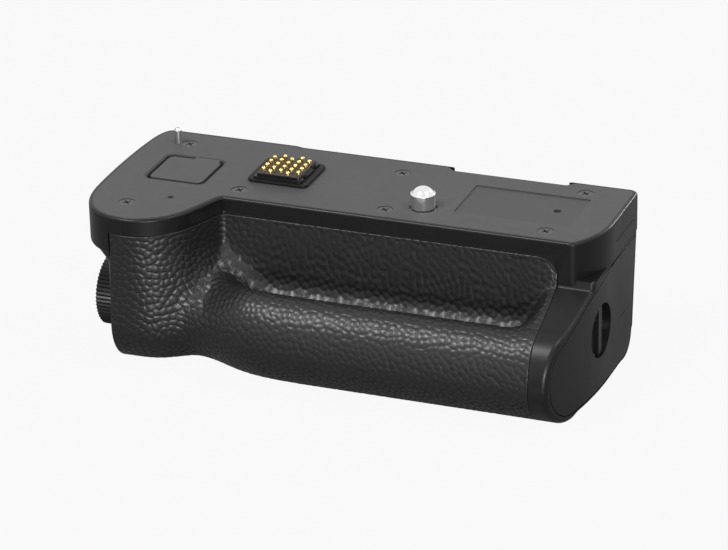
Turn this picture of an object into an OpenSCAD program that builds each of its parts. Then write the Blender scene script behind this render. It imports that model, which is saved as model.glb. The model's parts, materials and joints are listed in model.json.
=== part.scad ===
// Battery grip that screws under a camera: a moulded housing with a hand grip for upright shooting,
// a camera screw turned by a wheel, a sliding tray of cells and the controls at its left end.
// The origin is the axis of the camera screw at the top face. X runs along the length, Y to the
// back and Z up. All sizes are in millimetres.

/* [Housing] */
// Reach of the housing to the right of the camera screw
right_reach = 48.2; // [47:0.1:56]
// Reach of the end flange to the left of the camera screw
left_reach = 84.3; // [83.5:0.1:94]
// Height of the housing
body_h = 42; // [41.5:0.5:48]
// Distance from the camera screw to the back edge of the top face
back_y = 27; // [26.5:0.1:30]
// Distance from the camera screw to the front edge of the top face
front_y = 9.8; // [9.6:0.1:12]
// Depth of the flange at the left end and the back
flange_h = 10.4; // [9:0.1:11]
// Depth of the flange at its front right corner
corner_h = 11.7; // [10.5:0.1:12.5]
// Overhang of the left flange beyond the lower end wall
flange_over = 6.3; // [5:0.1:8]
// Width of the thin rim round the top plate
rim_w = 1; // [0.8:0.1:2]

/* [Hand grip] */
// Front of the column, from the camera screw
nose_y = 30.5; // [28:0.1:33]
// Front of the lower bulge, from the camera screw
bulge_y = 33; // [31:0.1:36]
// Depth of the waist between the column and the bulge
waist = 5.6; // [0:0.1:8]
// Radius under the front of the bulge
tip_r = 12.3; // [9:0.1:14]
// Rise of the crest above the front of the bulge
crest_rise = 11.7; // [9:0.1:12.5]
// Distance of the crest behind the front of the bulge
crest_back = 9; // [7:0.1:11]
// Depth of the finger groove below the crest
groove_d = 6.5; // [3:0.1:8]
// Thickness of the grip skin
skin_t = 1; // [0.6:0.1:1.2]
// Depth of the plain band above the skin
band_h = 4.6; // [3:0.1:6]

/* [Top plate] */
// Thickness of the top plate
plate_t = 2; // [1.5:0.1:2.4]
// Diameter of a plate screw's head
screw_head_d = 4; // [3:0.1:5]
// Diameter of a plate screw's shank
screw_d = 2; // [1.4:0.1:2.4]
// Length of a plate screw
screw_l = 7; // [5:0.5:8]
// Side of the square pocket for the contact cap
pocket_w = 17; // [13:0.1:17.5]
// Depth of the pocket insert
pocket_d = 4.4; // [3:0.1:5]
// Width of the groove round the pocket's raised middle
pocket_groove = 0.9; // [0.5:0.1:1.5]
// Depth of the plain recess at the right of the top plate
panel_d = 0.3; // [0.1:0.05:0.6]
// Diameter of the locating pin
pin_d = 2; // [1.5:0.1:3]
// Height of the locating pin above the top face
pin_h = 4.1; // [2:0.1:6]

/* [Contacts] */
// Spacing of the contact columns
pitch_x = 2.37; // [2.2:0.01:2.6]
// Spacing of the pins in a column
pitch_y = 2.53; // [2.3:0.01:2.7]
// Diameter of a spring pin
pogo_d = 1.1; // [0.8:0.1:1.4]
// Height of the spring pins above the top face
pogo_h = 3.2; // [2.8:0.1:4]
// Height of the contact block above the top face
block_h = 2.2; // [1.6:0.1:2.4]
// Travel of the spring pins
pogo_travel = 0.8; // [0.4:0.1:0.9]

/* [Camera screw] */
// Diameter of the camera screw
cam_d = 6.35; // [5.5:0.05:6.5]
// Height of the camera screw's straight part
cam_h = 3.8; // [3:0.1:5]
// Height of its round end
cam_dome = 1.8; // [1:0.1:2.4]
// Tooth module of the two gears
gear_m = 0.8; // [0.75:0.01:0.82]
// Teeth on the camera screw's gear
screw_teeth = 14; // [12:1:15]
// Teeth on the tightening wheel
wheel_teeth = 33; // [32:1:34]
// Distance of the tightening wheel to the right of the camera screw
wheel_x = 14.5; // [13:0.1:15.5]

/* [Tray] */
// Diameter of a cell
cell_d = 14.5; // [13.6:0.1:14.5]
// Length of a cell
cell_l = 50.5; // [46:0.1:50.8]
// Play between the tray and its bay
bay_gap = 0.3; // [0.2:0.05:0.5]
// Gap round the door
seam = 0.25; // [0.15:0.05:0.4]
// Margin of the door inside the end face
door_inset = 2; // [1.6:0.1:2.4]
// Diameter of the turn key's recess
key_d = 14; // [10:0.1:15]

/* [Controls] */
// Diameter of the shutter button
shutter_d = 10.8; // [8:0.1:11.5]
// Diameter of the dial round the shutter button
dial_d = 19; // [18:0.1:20.5]
// Width of the dial round the shutter button
dial_w = 4.3; // [3:0.1:4.6]
// Height of the shutter button's axis above the base
shutter_up = 12.5; // [12:0.1:14]
// Diameter of the rear dial
rear_dial_d = 16; // [13:0.1:17]
// Width of the rear dial
rear_dial_w = 4; // [3:0.1:4.2]
// Diameter of the focus button
af_d = 6; // [4:0.1:6.4]
// Diameter of the tripod thread in the base
tripod_d = 6.35; // [5:0.05:6.5]

/* [Hidden] */
$fn = 48;

// Fits: a running fit, a loose fit between flat faces, and a cut's overrun
run = 0.05;
loose = 0.3;
eps = 0.05;
glue = 0.05;
over = 1;

// Main heights
base_z = -body_h;
tip_z = base_z + tip_r;
crest_z = tip_z + crest_rise;
floor_z = crest_z - groove_d;
band_z = -band_h;
ledge_z = -flange_h + 0.4;
wall_end_z = floor_z + 5.5;
cheek_z = -corner_h - 0.4;
cheek_y = 0.7 - front_y;

// Left end, with the lower end wall set in below the flange
end_wall_x = flange_over - left_reach;
skin_x0 = 11.4 - left_reach;
nose_x = 15.8 - left_reach;
flank_x = 29.7 - left_reach;
corner_x = 33.4 - left_reach;
waist_x = corner_x - 3.1;

// Right end: the end face is an arc in plan that starts at end_flat_y
skin_x1 = right_reach - 9.8;
end_r = 114;
end_flat_y = 1.5;
end_round = 1.2;
groove_end_x = skin_x1 - 9.4;

// Back wall, drafted towards the base
back_top = back_y - 0.7;
draft = 0.109;
back_r = 6.5;
function back_wall(z) = back_top + draft * z;

// Camera screw, gears and wheel
plate_z = -plate_t;
gear_top_z = -5.6;
gear_w = 2.4;
gear_step = 0.2;
gear_z = gear_top_z - gear_w;
wheel_top_z = plate_z - 0.6;
well_z = gear_z - loose;
gear_a = gear_m * (screw_teeth + wheel_teeth) / 2;
wheel_y = sqrt(pow(gear_a, 2) - pow(wheel_x, 2));
wheel_turn = atan2(wheel_y, wheel_x);
wheel_r = gear_m * wheel_teeth / 2 + 1.4;
knurls = 66;
knurl_h = 0.35;
dish_d = 1;
dish_rim = 3;
axle_d = 3;
axle_seat = 1.6;
screw_shank_d = cam_d - 0.55;
bush_d = 10;
bush_cover = 0.8;
screw_hole_d = cam_d + 0.8;
screw_shoulder_d = 7;

// Bay for the tray: two cells side by side and a third below them where the height has room for it
bay_wall = 1.3;
bay_cover = 2.4;
bay_front_y = skin_t + 0.2 - front_y;
tray_floor_t = 0.5;
cell_r = cell_d / 2;
cell_gap = 0.1;
cell_y0 = bay_front_y + bay_gap + cell_r + cell_gap;
cell_y1 = cell_y0 + cell_d + cell_gap;
cell_mid_y = (cell_y0 + cell_y1) / 2;
bay_back_y = cell_y1 + cell_r + cell_gap + bay_gap;
bay_roof_z = well_z - axle_seat - bay_cover;
cell_high_z = bay_roof_z - bay_gap - cell_gap - cell_r;
cell_low_z = cell_high_z - sqrt(pow(cell_d + cell_gap, 2) - pow(cell_mid_y - cell_y0, 2));
low_floor_z = cell_low_z - cell_r - run - tray_floor_t - bay_gap;
has_low_cell = low_floor_z - bay_wall > base_z - eps;
bay_floor_z = has_low_cell ? low_floor_z : base_z + bay_wall;
bay_half = cell_r + 1.6;
bay_profile = [[cell_mid_y - bay_half, bay_floor_z], [cell_mid_y + bay_half, bay_floor_z],
    [bay_back_y, cell_high_z - 3], [bay_back_y, bay_roof_z], [bay_front_y + 5.4, bay_roof_z],
    [bay_front_y, bay_roof_z - 3.9], [bay_front_y, cell_high_z - cell_r]];
// Cells across the tray: Y, Z and the way they point
cell_places = concat([[cell_y0, cell_high_z, 1], [cell_y1, cell_high_z, -1]],
    has_low_cell ? [[cell_mid_y, cell_low_z, 1]] : []);

// Tray along X, from the door inwards, with as many cells in a row as the length has room for
door_in_x = right_reach - 4.6;
door_tip_x = right_reach - 7.7;
tray_plate = 2;
contact_t = 1.2;
contact_d = 5;
cell_nub = 1.4;
cell_nub_d = 5.5;
bay_contact_t = 2;
bay_contact_w = 3;
bay_contact_h = 8;
bay_contact_pitch = 6;
control_depth = 7.1;
cell_step = cell_l + 2 * (contact_t + run) + tray_plate;
tray_out_x = door_in_x - tray_plate;
bay_limit_x = end_wall_x + control_depth + loose + bay_contact_t;
cells_in_row = max(1, floor((tray_out_x - bay_limit_x) / cell_step));
tray_in_x = tray_out_x - cells_in_row * cell_step;
bay_end_x = tray_in_x - loose - bay_contact_t;
rail_w = 3.2;
rail_h = 1.4;
rail_z = cell_high_z - cell_r - 1.65;
rail_in = [1.3, 2.4];

// Turn key on the door
key_y = -4;
key_z = cell_high_z - 5.05;
key_depth = 2.6;
key_shaft_d = 4;
cam_bar_t = 1.2;
cam_bar_w = 3.8;
cam_bar_l = 8.4;
cam_room_d = 11;
key_plate = 1.2;
fin_w = 2.4;
fin_in = 0.8;
cam_pin_d = key_shaft_d - 1;
cam_x = door_in_x - loose - cam_bar_t;
door_screw_in = 2.4;

// Contact block: five staggered columns of spring pins
pin_cols = 5;
pin_rows = 4;
block_mid = [skin_x0 + 32.75, 8.615];
block_w = (pin_cols - 1) * pitch_x + 3.6;
block_l = pin_rows * pitch_y + 3.5;
block_chamfer = 0.7;
seal_over = [1.6, 0.6];
seal_t = 0.9;
slot_y = 3.4;
slot_z = 1.2;
slot_size = [1.2, 2.2, 0.6];
pogo_rest = 0.2;
pogo_tip = 0.3;
board_t = 1.2;
board_top = plate_z - 1.4;
board_well_z = board_top - board_t - 2.4;
board_size = [39, 22.2];
board_at = [block_mid.x - block_w / 2 - 8, -1.2];
boss_in = 3;
boss_d = 4.4;
boss_at = [for (x = [boss_in, board_size.x - boss_in]) for (y = [boss_in, board_size.y - boss_in])
    board_at + [x, y]];
board_screw_l = 4;
// Small screws of the board and the door
small_d = 1.6;
small_head_d = 3;
small_head_t = 0.8;

// Plate screws, pocket, pin and the two small holes
plate_screw_at = [[12.3 - left_reach, 20], [12.3 - left_reach, -20], [corner_x + 2.9, -4], [-12.4, 19],
    [-8.7, -4.2], [right_reach - 12.4, 21], [right_reach - 14.7, -4.3]];
head_t = 1.1;
head_sink = 0.15;
cross_l = 2.2;
cross_w = 0.5;
cross_d = 0.6;
pocket_mid = [18.1 - left_reach, 3.75];
pocket_r = 2.4;
pocket_rim = 0.4;
pocket_floor = 1.2;
pocket_bridge = [-0.5, 6.3];
pin_at = [9.2 - left_reach, 19.7];
pin_root = 4.8;
pin_root_d = pin_d - 0.8;
pin_chamfer = 0.5;
small_hole_d = 1.2;
small_holes = [[21.7 - left_reach, -13.9, 1.6], [right_reach - 15.85, 8.7, 2]];
panel_at = [right_reach - 40.1, -0.3];
panel_size = [30.3, 17.7];

// Slope under the left flange and the run-out of the deeper right corner
slope_h = 3.4;
slope_set = 0.6;
slope_lap = 0.4;
corner_run = 6;

// Notch in the back edge, at the tightening wheel
notch_half = 16.5;
notch_d = 1.75;
notch_slope = 2;
notch_z = gear_z - 1;

// Controls at the left end and on the back wall
shutter_y = -10;
shutter_z = base_z + shutter_up;
shutter_r = shutter_d / 2;
shutter_travel = 1.2;
shutter_out = left_reach - 0.5;
shutter_room = 2 * shutter_travel;
shutter_dish = 0.5;
collar_t = 0.9;
collar_in = 3.8;
lip_t = 0.5;
lip_over = 0.9;
dial_gap = 0.25;
dial_ribs = 56;
rear_ribs = 36;
rib_h = 0.45;
rear_dial_x = end_wall_x + 1.8;
rear_dial_z = base_z + 13.5;
rear_dial_out = 1.2;
rear_y = back_wall(rear_dial_z) + rear_dial_out - rear_dial_d / 2;
rear_axle_d = 2.5;
rear_axle_x = [end_wall_x + 0.7, rear_dial_x + rear_dial_w + 0.9];
dial_room = 0.4;
af_x = end_wall_x + 5;
af_z = -flange_h - 4.1;
af_out = 1;
af_travel = 0.7;
af_l = 2;
af_step = 0.5;
pad_at = [corner_x + 10, base_z + 18];
pad_size = [34, 20];
pad_r = 5;
pad_t = 1.1;
pad_proud = 0.3;

// Tripod socket in the flat of the base
socket_at = [0, bay_front_y - 6.6];
socket_d = 10;
socket_h = 7;
socket_thread = 5.5;

// Colours
case_col = "#1d1d1f";
plate_col = "#3a3a3d";
skin_col = "#121213";
gold_col = "#c9a24a";
steel_col = "#b9bbbe";
brass_col = "#a98b4f";
board_col = "#2c5a3a";
cell_col = "#8f9498";

// Blends, curves and outlines
function lerp(a, b, w) = a + (b - a) * w;
function ramp(x, a, b) = let (w = max(0, min(1, (x - a) / (b - a)))) w * w * (3 - 2 * w);
function bezier(p, t) = let (u = 1 - t)
    u * u * u * p[0] + 3 * u * u * t * p[1] + 3 * u * t * t * p[2] + t * t * t * p[3];
function curve(p, n, first = 0, drop = 0) = [for (i = [first : n - drop]) bezier(p, i / n)];
function polar(r, a) = r * [cos(a), sin(a)];
function arc(c, r, a0, a1, n) = [for (i = [0 : n]) c + polar(r, lerp(a0, a1, i / n))];
function unit(v) = v / norm(v);
function left_of(v) = [-v.y, v.x];
// Moves a closed outline, listed anticlockwise, inwards by d
function inset(p, d) = let (n = len(p)) [for (i = [0 : n - 1])
    let (a = left_of(unit(p[i] - p[(i + n - 1) % n])), b = left_of(unit(p[(i + 1) % n] - p[i])))
    p[i] + d * (a + b) / (1 + a * b)];
// Moves an open chain sideways by d
function shift_chain(p, d) = let (n = len(p)) [for (i = [0 : n - 1])
    p[i] + d * left_of(unit(p[min(i + 1, n - 1)] - p[max(i - 1, 0)]))];
function rounded(w, l, r, n = 6) = concat(
    arc([w / 2 - r, l / 2 - r], r, 0, 90, n), arc([r - w / 2, l / 2 - r], r, 90, 180, n),
    arc([r - w / 2, r - l / 2], r, 180, 270, n), arc([w / 2 - r, r - l / 2], r, 270, 360, n));

// Top outline: the column's nose at the left, the straight front edge and the cut right corner
nose_left = [[0.5 - left_reach, -13], [1.3 - left_reach, -24.5], [6.8 - left_reach, -nose_y],
    [nose_x, -nose_y]];
nose_right = [[nose_x, -nose_y], [nose_x + 6, -nose_y], [flank_x - 2.2, -nose_y + 4.9],
    [flank_x, -nose_y + 10.5]];
flank_end = [corner_x, -front_y - 1];
right_corner = [[right_reach - 5.8, -front_y], [right_reach - 3, -front_y + 3.2],
    [right_reach, -front_y + 7.8], [right_reach, 6]];
left_back = [[5 - left_reach, back_y + 0.6], [1.8 - left_reach, back_y + 0.6], [1.1 - left_reach, 22],
    [0.7 - left_reach, 16]];
left_side = [[0.7 - left_reach, 16], [-left_reach, 7], [-left_reach, -5], [0.5 - left_reach, -13]];
// The edge where the straight front meets the cut corner, rounded over the given reach
edge_reach = 1;
front_edge = [for (t = [0 : 0.25 : 1]) let (a = right_corner[0] - [edge_reach, 0], b = right_corner[0],
    c = b + edge_reach * unit(right_corner[1] - b)) lerp(lerp(a, b, t), lerp(b, c, t), t)];
top_outline = concat(curve(nose_left, 10), curve(nose_right, 8, 1), [flank_end, [corner_x + 0.9, -front_y]],
    front_edge, curve(right_corner, 8, 2), arc([right_reach - 2.5, back_y - 2.5], 2.5, 0, 90, 5),
    [[corner_x + 8, back_y], [corner_x + 6, back_y + 0.6]], curve(left_back, 6), curve(left_side, 8, 1, 1));

// The convex end face in plan, and the door's outline on it, seen from the right
function end_x(y) = y > end_flat_y ? right_reach
    : right_reach - end_r + sqrt(end_r * end_r - pow(end_flat_y - y, 2));
end_plan = concat([for (i = [0 : 12]) let (y = lerp(-bulge_y - 2, end_flat_y, i / 12)) [end_x(y), y]],
    [[right_reach, back_y + 4], [right_reach - 18, back_y + 4], [right_reach - 18, -bulge_y - 2]]);
tip_c = [tip_r - bulge_y, tip_z];
crest_c = [crest_back - bulge_y, tip_z];
door_top_z = -flange_h - 0.6;
door_outline = concat(
    [for (i = [0 : 8]) let (a = lerp(180, 270, i / 8)) tip_c + polar(tip_r - door_inset, a)],
    arc([back_wall(base_z) - back_r, base_z + back_r], back_r - door_inset + 0.4, 270, 354, 5),
    [[back_wall(door_top_z) - door_inset + 0.4, door_top_z], [3, door_top_z],
        [-front_y - 2.2, door_top_z - 2.9]],
    [for (i = [0 : 6]) let (a = lerp(96, 166, i / 6))
        crest_c + [(crest_back - door_inset) * cos(a), (crest_rise - door_inset) * sin(a)]]);

// One cross-section of the hand grip, from its top to the base, in Y and Z.
// top_y is the front of the wall above, tip_y the front of the bulge. groove goes from 0, a plain
// column, to 1, a full finger groove, and cheek fills that groove with a slope at the right end.
wall_n = 4;
fillet_n = 3;
rise_n = 6;
crown_n = 7;
base_n = 6;
front_n = wall_n + fillet_n + rise_n + crown_n;
wall_lean = 0.7;
fillet_w = 4.1;
function groove_yz() = let (tip = bulge_y - front_y, crest = tip - crest_back) concat(
    [for (i = [0 : wall_n - 1]) [wall_lean * i / (wall_n - 1), lerp(band_z, wall_end_z, i / (wall_n - 1))]],
    [for (i = [1 : fillet_n]) let (a = 90 * i / fillet_n)
        [wall_lean + fillet_w * (1 - cos(a)), wall_end_z + (floor_z - wall_end_z) * sin(a)]],
    [for (i = [1 : rise_n]) let (w = i / rise_n)
        [lerp(wall_lean + fillet_w, crest, w), lerp(floor_z, crest_z, (1 - cos(180 * w)) / 2)]],
    [for (i = [1 : crown_n]) let (a = 90 - 90 * i / crown_n)
        [crest + crest_back * cos(a), tip_z + crest_rise * sin(a)]]);
groove_pts = groove_yz();
function cheek_height(i, z0) = let (crest_i = wall_n + fillet_n + rise_n - 1)
    i < wall_n ? lerp(z0, cheek_z, i / (wall_n - 1))
    : i <= crest_i ? lerp(cheek_z, crest_z + 0.6,
        (groove_pts[i].x - wall_lean) / (groove_pts[crest_i].x - wall_lean))
    : groove_pts[i].y + 0.6 * (front_n - 1 - i) / crown_n;
function grip_front(top_y, tip_y, groove, cheek, z0) = concat(
    [for (i = [0 : front_n - 1])
        let (s = groove_pts[i].x / (bulge_y - front_y), plain = lerp(z0, tip_z, i / (front_n - 1)),
            full = i < wall_n ? lerp(z0, wall_end_z, i / (wall_n - 1)) : groove_pts[i].y)
        [lerp(top_y, tip_y, s), lerp(lerp(plain, full, groove), cheek_height(i, z0), cheek)]],
    [for (i = [1 : base_n - 1]) let (a = 180 + 75 * i / (base_n - 1))
        [tip_y + tip_r, tip_z] + polar(tip_r, a)]);
function grip_foot(tip_y) = [for (a = [256, 270]) [tip_y + tip_r, tip_z] + polar(tip_r, a)];
chain_n = front_n + base_n - 1 + 3;
// The back wall from the base up, with as many points as the front
function back_chain(z0, corner) = let (round_n = 6, c = [back_wall(base_z) - back_r, base_z + back_r])
    concat([for (i = [0 : round_n]) c + polar(back_r, lerp(270, 354, i / round_n)) - [corner, 0]],
    [for (i = [1 : chain_n - round_n - 1]) let (z = lerp(base_z + back_r, z0, i / (chain_n - round_n - 1)))
        [back_wall(z) - corner, z]]);

// Stations along the grip: [x, top_y, tip_y, groove, cheek]
function bulge_front(x) = let (side = x < waist_x ? 7 : 12)
    lerp(-nose_y - 0.7, -bulge_y, ramp(x, nose_x, -20)) + waist * exp(-pow((x - waist_x) / side, 2));
function station(x, top_y) = [x, top_y, bulge_front(x), ramp(x, corner_x - 6.5, corner_x + 15),
    ramp(x, groove_end_x, skin_x1 - 1)];
skin_lead = [[skin_x0, -nose_y + 0.85], [skin_x0 + 1.4, -nose_y + 0.3], [nose_x - 1.5, -nose_y],
    [nose_x, -nose_y]];
skin_plan = concat(curve(skin_lead, 3), curve(nose_right, 8, 1),
    [for (w = [0.5, 1]) lerp(nose_right[3], flank_end, w)],
    [[corner_x + 0.9, -front_y], [corner_x + 2, -front_y]],
    [for (i = [1 : 8]) [lerp(corner_x + 2, -20, i / 8), -front_y]], [[0, -front_y]],
    [for (i = [0 : 6]) [lerp(groove_end_x, skin_x1 - 0.1, i / 6), -front_y]]);
skin_stations = [for (p = skin_plan) station(p.x, p.y)];
low_corner = [[end_wall_x, -15], [end_wall_x, -21.5], [end_wall_x + 2, -25.5],
    [skin_x0 - eps, -nose_y + 2.4]];
low_stations = [for (p = curve(low_corner, 6)) [p.x, p.y, p.y, 0, 0]];

function place(x, chain) = [for (p = chain) [x, p.x, p.y]];
// A ring in the skinned stretch, set in by the skin's thickness, with its plain foot below the skin
function skinned_ring(s) = let (outer = grip_front(s[1], s[2], s[3], s[4], band_z),
        inner = shift_chain(outer, skin_t + glue))
    place(s[0], concat([[inner[0].x + 0.4, band_z + 1.2]], inner, grip_foot(s[2]),
        back_chain(band_z + 1.2, 0)));
function corner_set(x) = let (r = 4, d = x - end_wall_x) d > r ? 0 : r - sqrt(r * r - pow(r - d, 2));
function low_ring(s) = let (z0 = ledge_z)
    place(s[0], concat([[s[1] + 0.4, z0]], grip_front(s[1], s[2], 0, 0, z0 - 0.2), grip_foot(s[2]),
        back_chain(z0, corner_set(s[0]))));
// A ring of the cheek. set is its inset and back its distance from the convex end face
function cheek_chain() = concat([[cheek_y + 0.4, ledge_z]],
    grip_front(cheek_y, -bulge_y, 1, 1, ledge_z - 0.2), grip_foot(-bulge_y), back_chain(ledge_z, 0));
function end_ring(set, back) = let (p = cheek_chain(), q = shift_chain(p, set), m = len(p) - 1)
    [for (i = [0 : m]) let (y = i == 0 ? p[0].x + set : i == m ? p[m].x - set : q[i].x)
        [end_x(y) - back, y, i % m == 0 ? ledge_z : min(q[i].y, ledge_z)]];

function ring_faces(rings, n) = [for (k = [0 : rings - 2]) for (j = [0 : n - 1])
    let (a = k * n + j, b = k * n + (j + 1) % n, c = a + n, d = b + n) each [[a, d, b], [a, c, d]]];

// The lofted hand grip, closed at the right by a grid that follows the convex end face
module grip_loft() {
    rings = concat([for (s = low_stations) low_ring(s)], [for (s = skin_stations) skinned_ring(s)],
        [place(skin_x1 - eps, cheek_chain()), end_ring(0, end_round), end_ring(0.3, 0.35),
            end_ring(end_round, 0)]);
    n = 2 * chain_n;
    last = len(rings) - 1;
    cols = 8;
    grid = [for (j = [0 : chain_n - 1]) for (m = [1 : cols - 1])
        let (p = lerp(rings[last][j], rings[last][n - 1 - j], m / cols)) [end_x(p.y), p.y, p.z]];
    // The first and last rows have only their two ends
    function at(j, m) = let (edge = j == 0 || j == chain_n - 1, c = edge ? (m > cols / 2 ? cols : 0) : m)
        c == 0 ? last * n + j : c == cols ? last * n + n - 1 - j : (last + 1) * n + j * (cols - 1) + c - 1;
    function whole(f) = f[0] != f[1] && f[1] != f[2] && f[2] != f[0];
    end_faces = [for (j = [0 : chain_n - 2]) for (m = [0 : cols - 1])
        for (f = [[at(j, m), at(j, m + 1), at(j + 1, m + 1)], [at(j, m), at(j + 1, m + 1), at(j + 1, m)]])
            if (whole(f)) f];
    start_faces = [for (j = [0 : chain_n - 2])
        each [[j, j + 1, n - 2 - j], [j, n - 2 - j, n - 1 - j]]];
    polyhedron(concat([for (r = rings) each r], grid),
        concat(ring_faces(len(rings), n), end_faces, start_faces));
}

// The skin as a lofted sheet: its outer face from the bottom up, then its inner face down again
module skin_loft() {
    rings = [for (s = skin_stations) let (outer = grip_front(s[1], s[2], s[3], s[4], band_z),
            inner = shift_chain(outer, skin_t), m = len(outer))
        place(s[0], concat([for (i = [0 : m - 1]) outer[m - 1 - i]], inner))];
    n = len(rings[0]);
    m = n / 2;
    last = (len(rings) - 1) * n;
    caps = [for (j = [0 : m - 2]) each [[j, j + 1, n - 2 - j], [j, n - 2 - j, n - 1 - j],
        [last + j, last + n - 2 - j, last + j + 1], [last + j, last + n - 1 - j, last + n - 2 - j]]];
    faces = concat(ring_faces(len(rings), n), caps);
    polyhedron([for (r = rings) each r], [for (f = faces) [f[0], f[2], f[1]]]);
}

// Helpers for pieces along X, bored pieces and knurled rounds
module along_x(x0, x1) {
    translate([x0, 0, 0]) rotate([90, 0, 90]) linear_extrude(x1 - x0) children();
}
module rod_x(x0, x1, y, z, d) {
    translate([x0, y, z]) rotate([0, 90, 0]) cylinder(d = d, h = x1 - x0);
}
module slab(z0, z1, outline) {
    translate([0, 0, z0]) linear_extrude(z1 - z0) polygon(outline);
}
module knurl(r, ribs, h) {
    polygon([for (i = [0 : 2 * ribs - 1]) polar(i % 2 == 0 ? r : r - h, 180 * i / ribs)]);
}
module gear_shape(teeth, m) {
    r = m * teeth / 2;
    step = 360 / teeth;
    polygon([for (i = [0 : teeth - 1]) for (k = [[-0.3, -1.1], [-0.1, 0.75], [0.1, 0.75], [0.3, -1.1]])
        polar(r + k.y * m, (i + k.x) * step)]);
}
// Notch in the back edge, grown by d on all sides
module notch_shape(d) {
    half = notch_half + 0.5 * d;
    y = back_y - notch_d - d;
    rise = notch_d + d + 2;
    slope = notch_slope * rise / notch_d;
    translate([wheel_x, y])
        polygon([[-half + notch_slope - slope, rise], [-half + notch_slope, 0], [half - notch_slope, 0],
            [half - notch_slope + slope, rise]]);
}
module plate_outline(gap) {
    difference() {
        polygon(inset(top_outline, rim_w + gap));
        notch_shape(rim_w + gap);
    }
}
// Lies on the drafted back wall at x and z, with its own Z pointing outwards
module on_back(x, z) {
    translate([x, back_wall(z), z]) rotate([-90 - atan(draft), 0, 0]) children();
}

module flange() {
    slab(band_z, 0, top_outline);
    difference() {
        slab(-flange_h, band_z + eps, top_outline);
        translate([skin_x0 - eps, -bulge_y - over, -body_h])
            cube([skin_x1 - eps - skin_x0, bulge_y + over + bay_front_y, body_h]);
    }
    // The deeper corner at the front right, which runs out above the door
    intersection() {
        slab(-corner_h, eps - flange_h, top_outline);
        along_x(skin_x1 - eps, right_reach) polygon([[corner_run, eps - flange_h],
            [-front_y - over, eps - flange_h], [-front_y - over, -corner_h], [-corner_run, -corner_h]]);
    }
    // Slope under the left flange, down to the lower end wall
    hull() {
        slab(-flange_h - eps, -flange_h + slope_lap, concat([[skin_x0 - 1, 20]],
            curve([for (p = left_side) p + [slope_set, 0]], 5),
            curve([for (p = nose_left) p + [slope_set, slope_set]], 6, 1, 2), [[skin_x0 - 1, -nose_y + 2]]));
        slab(-flange_h - slope_h - slope_lap, -flange_h - slope_h,
            concat([[skin_x0 - 1, 19], [end_wall_x, 18]], curve(low_corner, 4)));
    }
}
// What lies behind the slope of the flange's back face
module back_slope() {
    along_x(-left_reach - over, right_reach + over) polygon([[back_y + 0.6, 0],
        [back_wall(-flange_h) - 0.3, -flange_h - eps], [back_wall(-flange_h) + over, -flange_h - eps],
        [back_y + 5, -flange_h - eps], [back_y + 5, over], [back_y + 0.6, over]]);
}
module door_recess() {
    intersection() {
        along_x(door_tip_x - loose, right_reach + over) polygon(inset(door_outline, -seam));
        union() {
            translate([door_in_x - loose, -50, -body_h]) cube([20, 100, body_h]);
            translate([0, -50 - front_y, -body_h]) cube([100, 50 + seam, body_h]);
        }
    }
}
module wheel_well() {
    translate([0, 0, well_z]) {
        cylinder(d = gear_m * screw_teeth + 2.4, h = -well_z);
        translate([wheel_x, wheel_y, 0]) cylinder(r = wheel_r + loose + 0.1, h = plate_z - well_z);
    }
    translate([wheel_x, wheel_y, well_z - axle_seat]) cylinder(d = axle_d + 2 * run, h = axle_seat + eps);
}
module screw_holes() {
    for (p = plate_screw_at) translate([p.x, p.y, -screw_l - loose])
        cylinder(d = screw_d + 2 * run, h = screw_l);
}
// Seats of the shutter button, the rear dial, the focus button and the thumb rest
module control_seats() {
    bore_x = end_wall_x + collar_in;
    collar_d = shutter_d + 2 * collar_t;
    rod_x(bore_x - run, bore_x + shutter_room, shutter_y, shutter_z, shutter_d + 4 * run);
    rod_x(end_wall_x - over, bore_x, shutter_y, shutter_z, collar_d + 2 * run);
    rod_x(rear_dial_x - loose, rear_dial_x + rear_dial_w + loose, rear_y, rear_dial_z,
        rear_dial_d + 2 * dial_room);
    rod_x(rear_axle_x[0] - eps, rear_axle_x[1] + eps, rear_y, rear_dial_z, rear_axle_d + 2 * run);
    on_back(af_x, af_z) translate([0, 0, -af_l - af_travel])
        cylinder(d = af_d + loose, h = 2 * af_l + af_travel);
    on_back(pad_at.x, pad_at.y)
        slab(pad_proud - pad_t, pad_t, rounded(pad_size.x + 2 * run, pad_size.y + 2 * run, pad_r));
}

module main_case() {
    color(case_col) difference() {
        union() {
            flange();
            grip_loft();
        }
        // Seat of the top plate, notch, pocket and board well
        translate([0, 0, plate_z]) linear_extrude(plate_t + over) plate_outline(0);
        translate([0, 0, notch_z]) linear_extrude(over - notch_z) notch_shape(0);
        back_slope();
        translate([pocket_mid.x, pocket_mid.y, 0])
            slab(-pocket_d - eps, 0, rounded(pocket_w + 2 * run, pocket_w + 2 * run, pocket_r));
        difference() {
            translate([board_at.x - loose, board_at.y - loose, board_well_z])
                cube([board_size.x + 2 * loose, board_size.y + 2 * loose, body_h]);
            board_bosses();
        }
        board_screw_holes();
        wheel_well();
        screw_holes();
        translate([pin_at.x, pin_at.y, -pin_root - run]) cylinder(d = pin_root_d + 2 * run, h = pin_root);
        // Bay, door seat and the seats of the controls
        along_x(bay_end_x, right_reach + over) polygon(bay_profile);
        door_recess();
        control_seats();
        translate([socket_at.x, socket_at.y, base_z - over])
            cylinder(d = socket_d + 2 * run, h = socket_h + over);
    }
}

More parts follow.
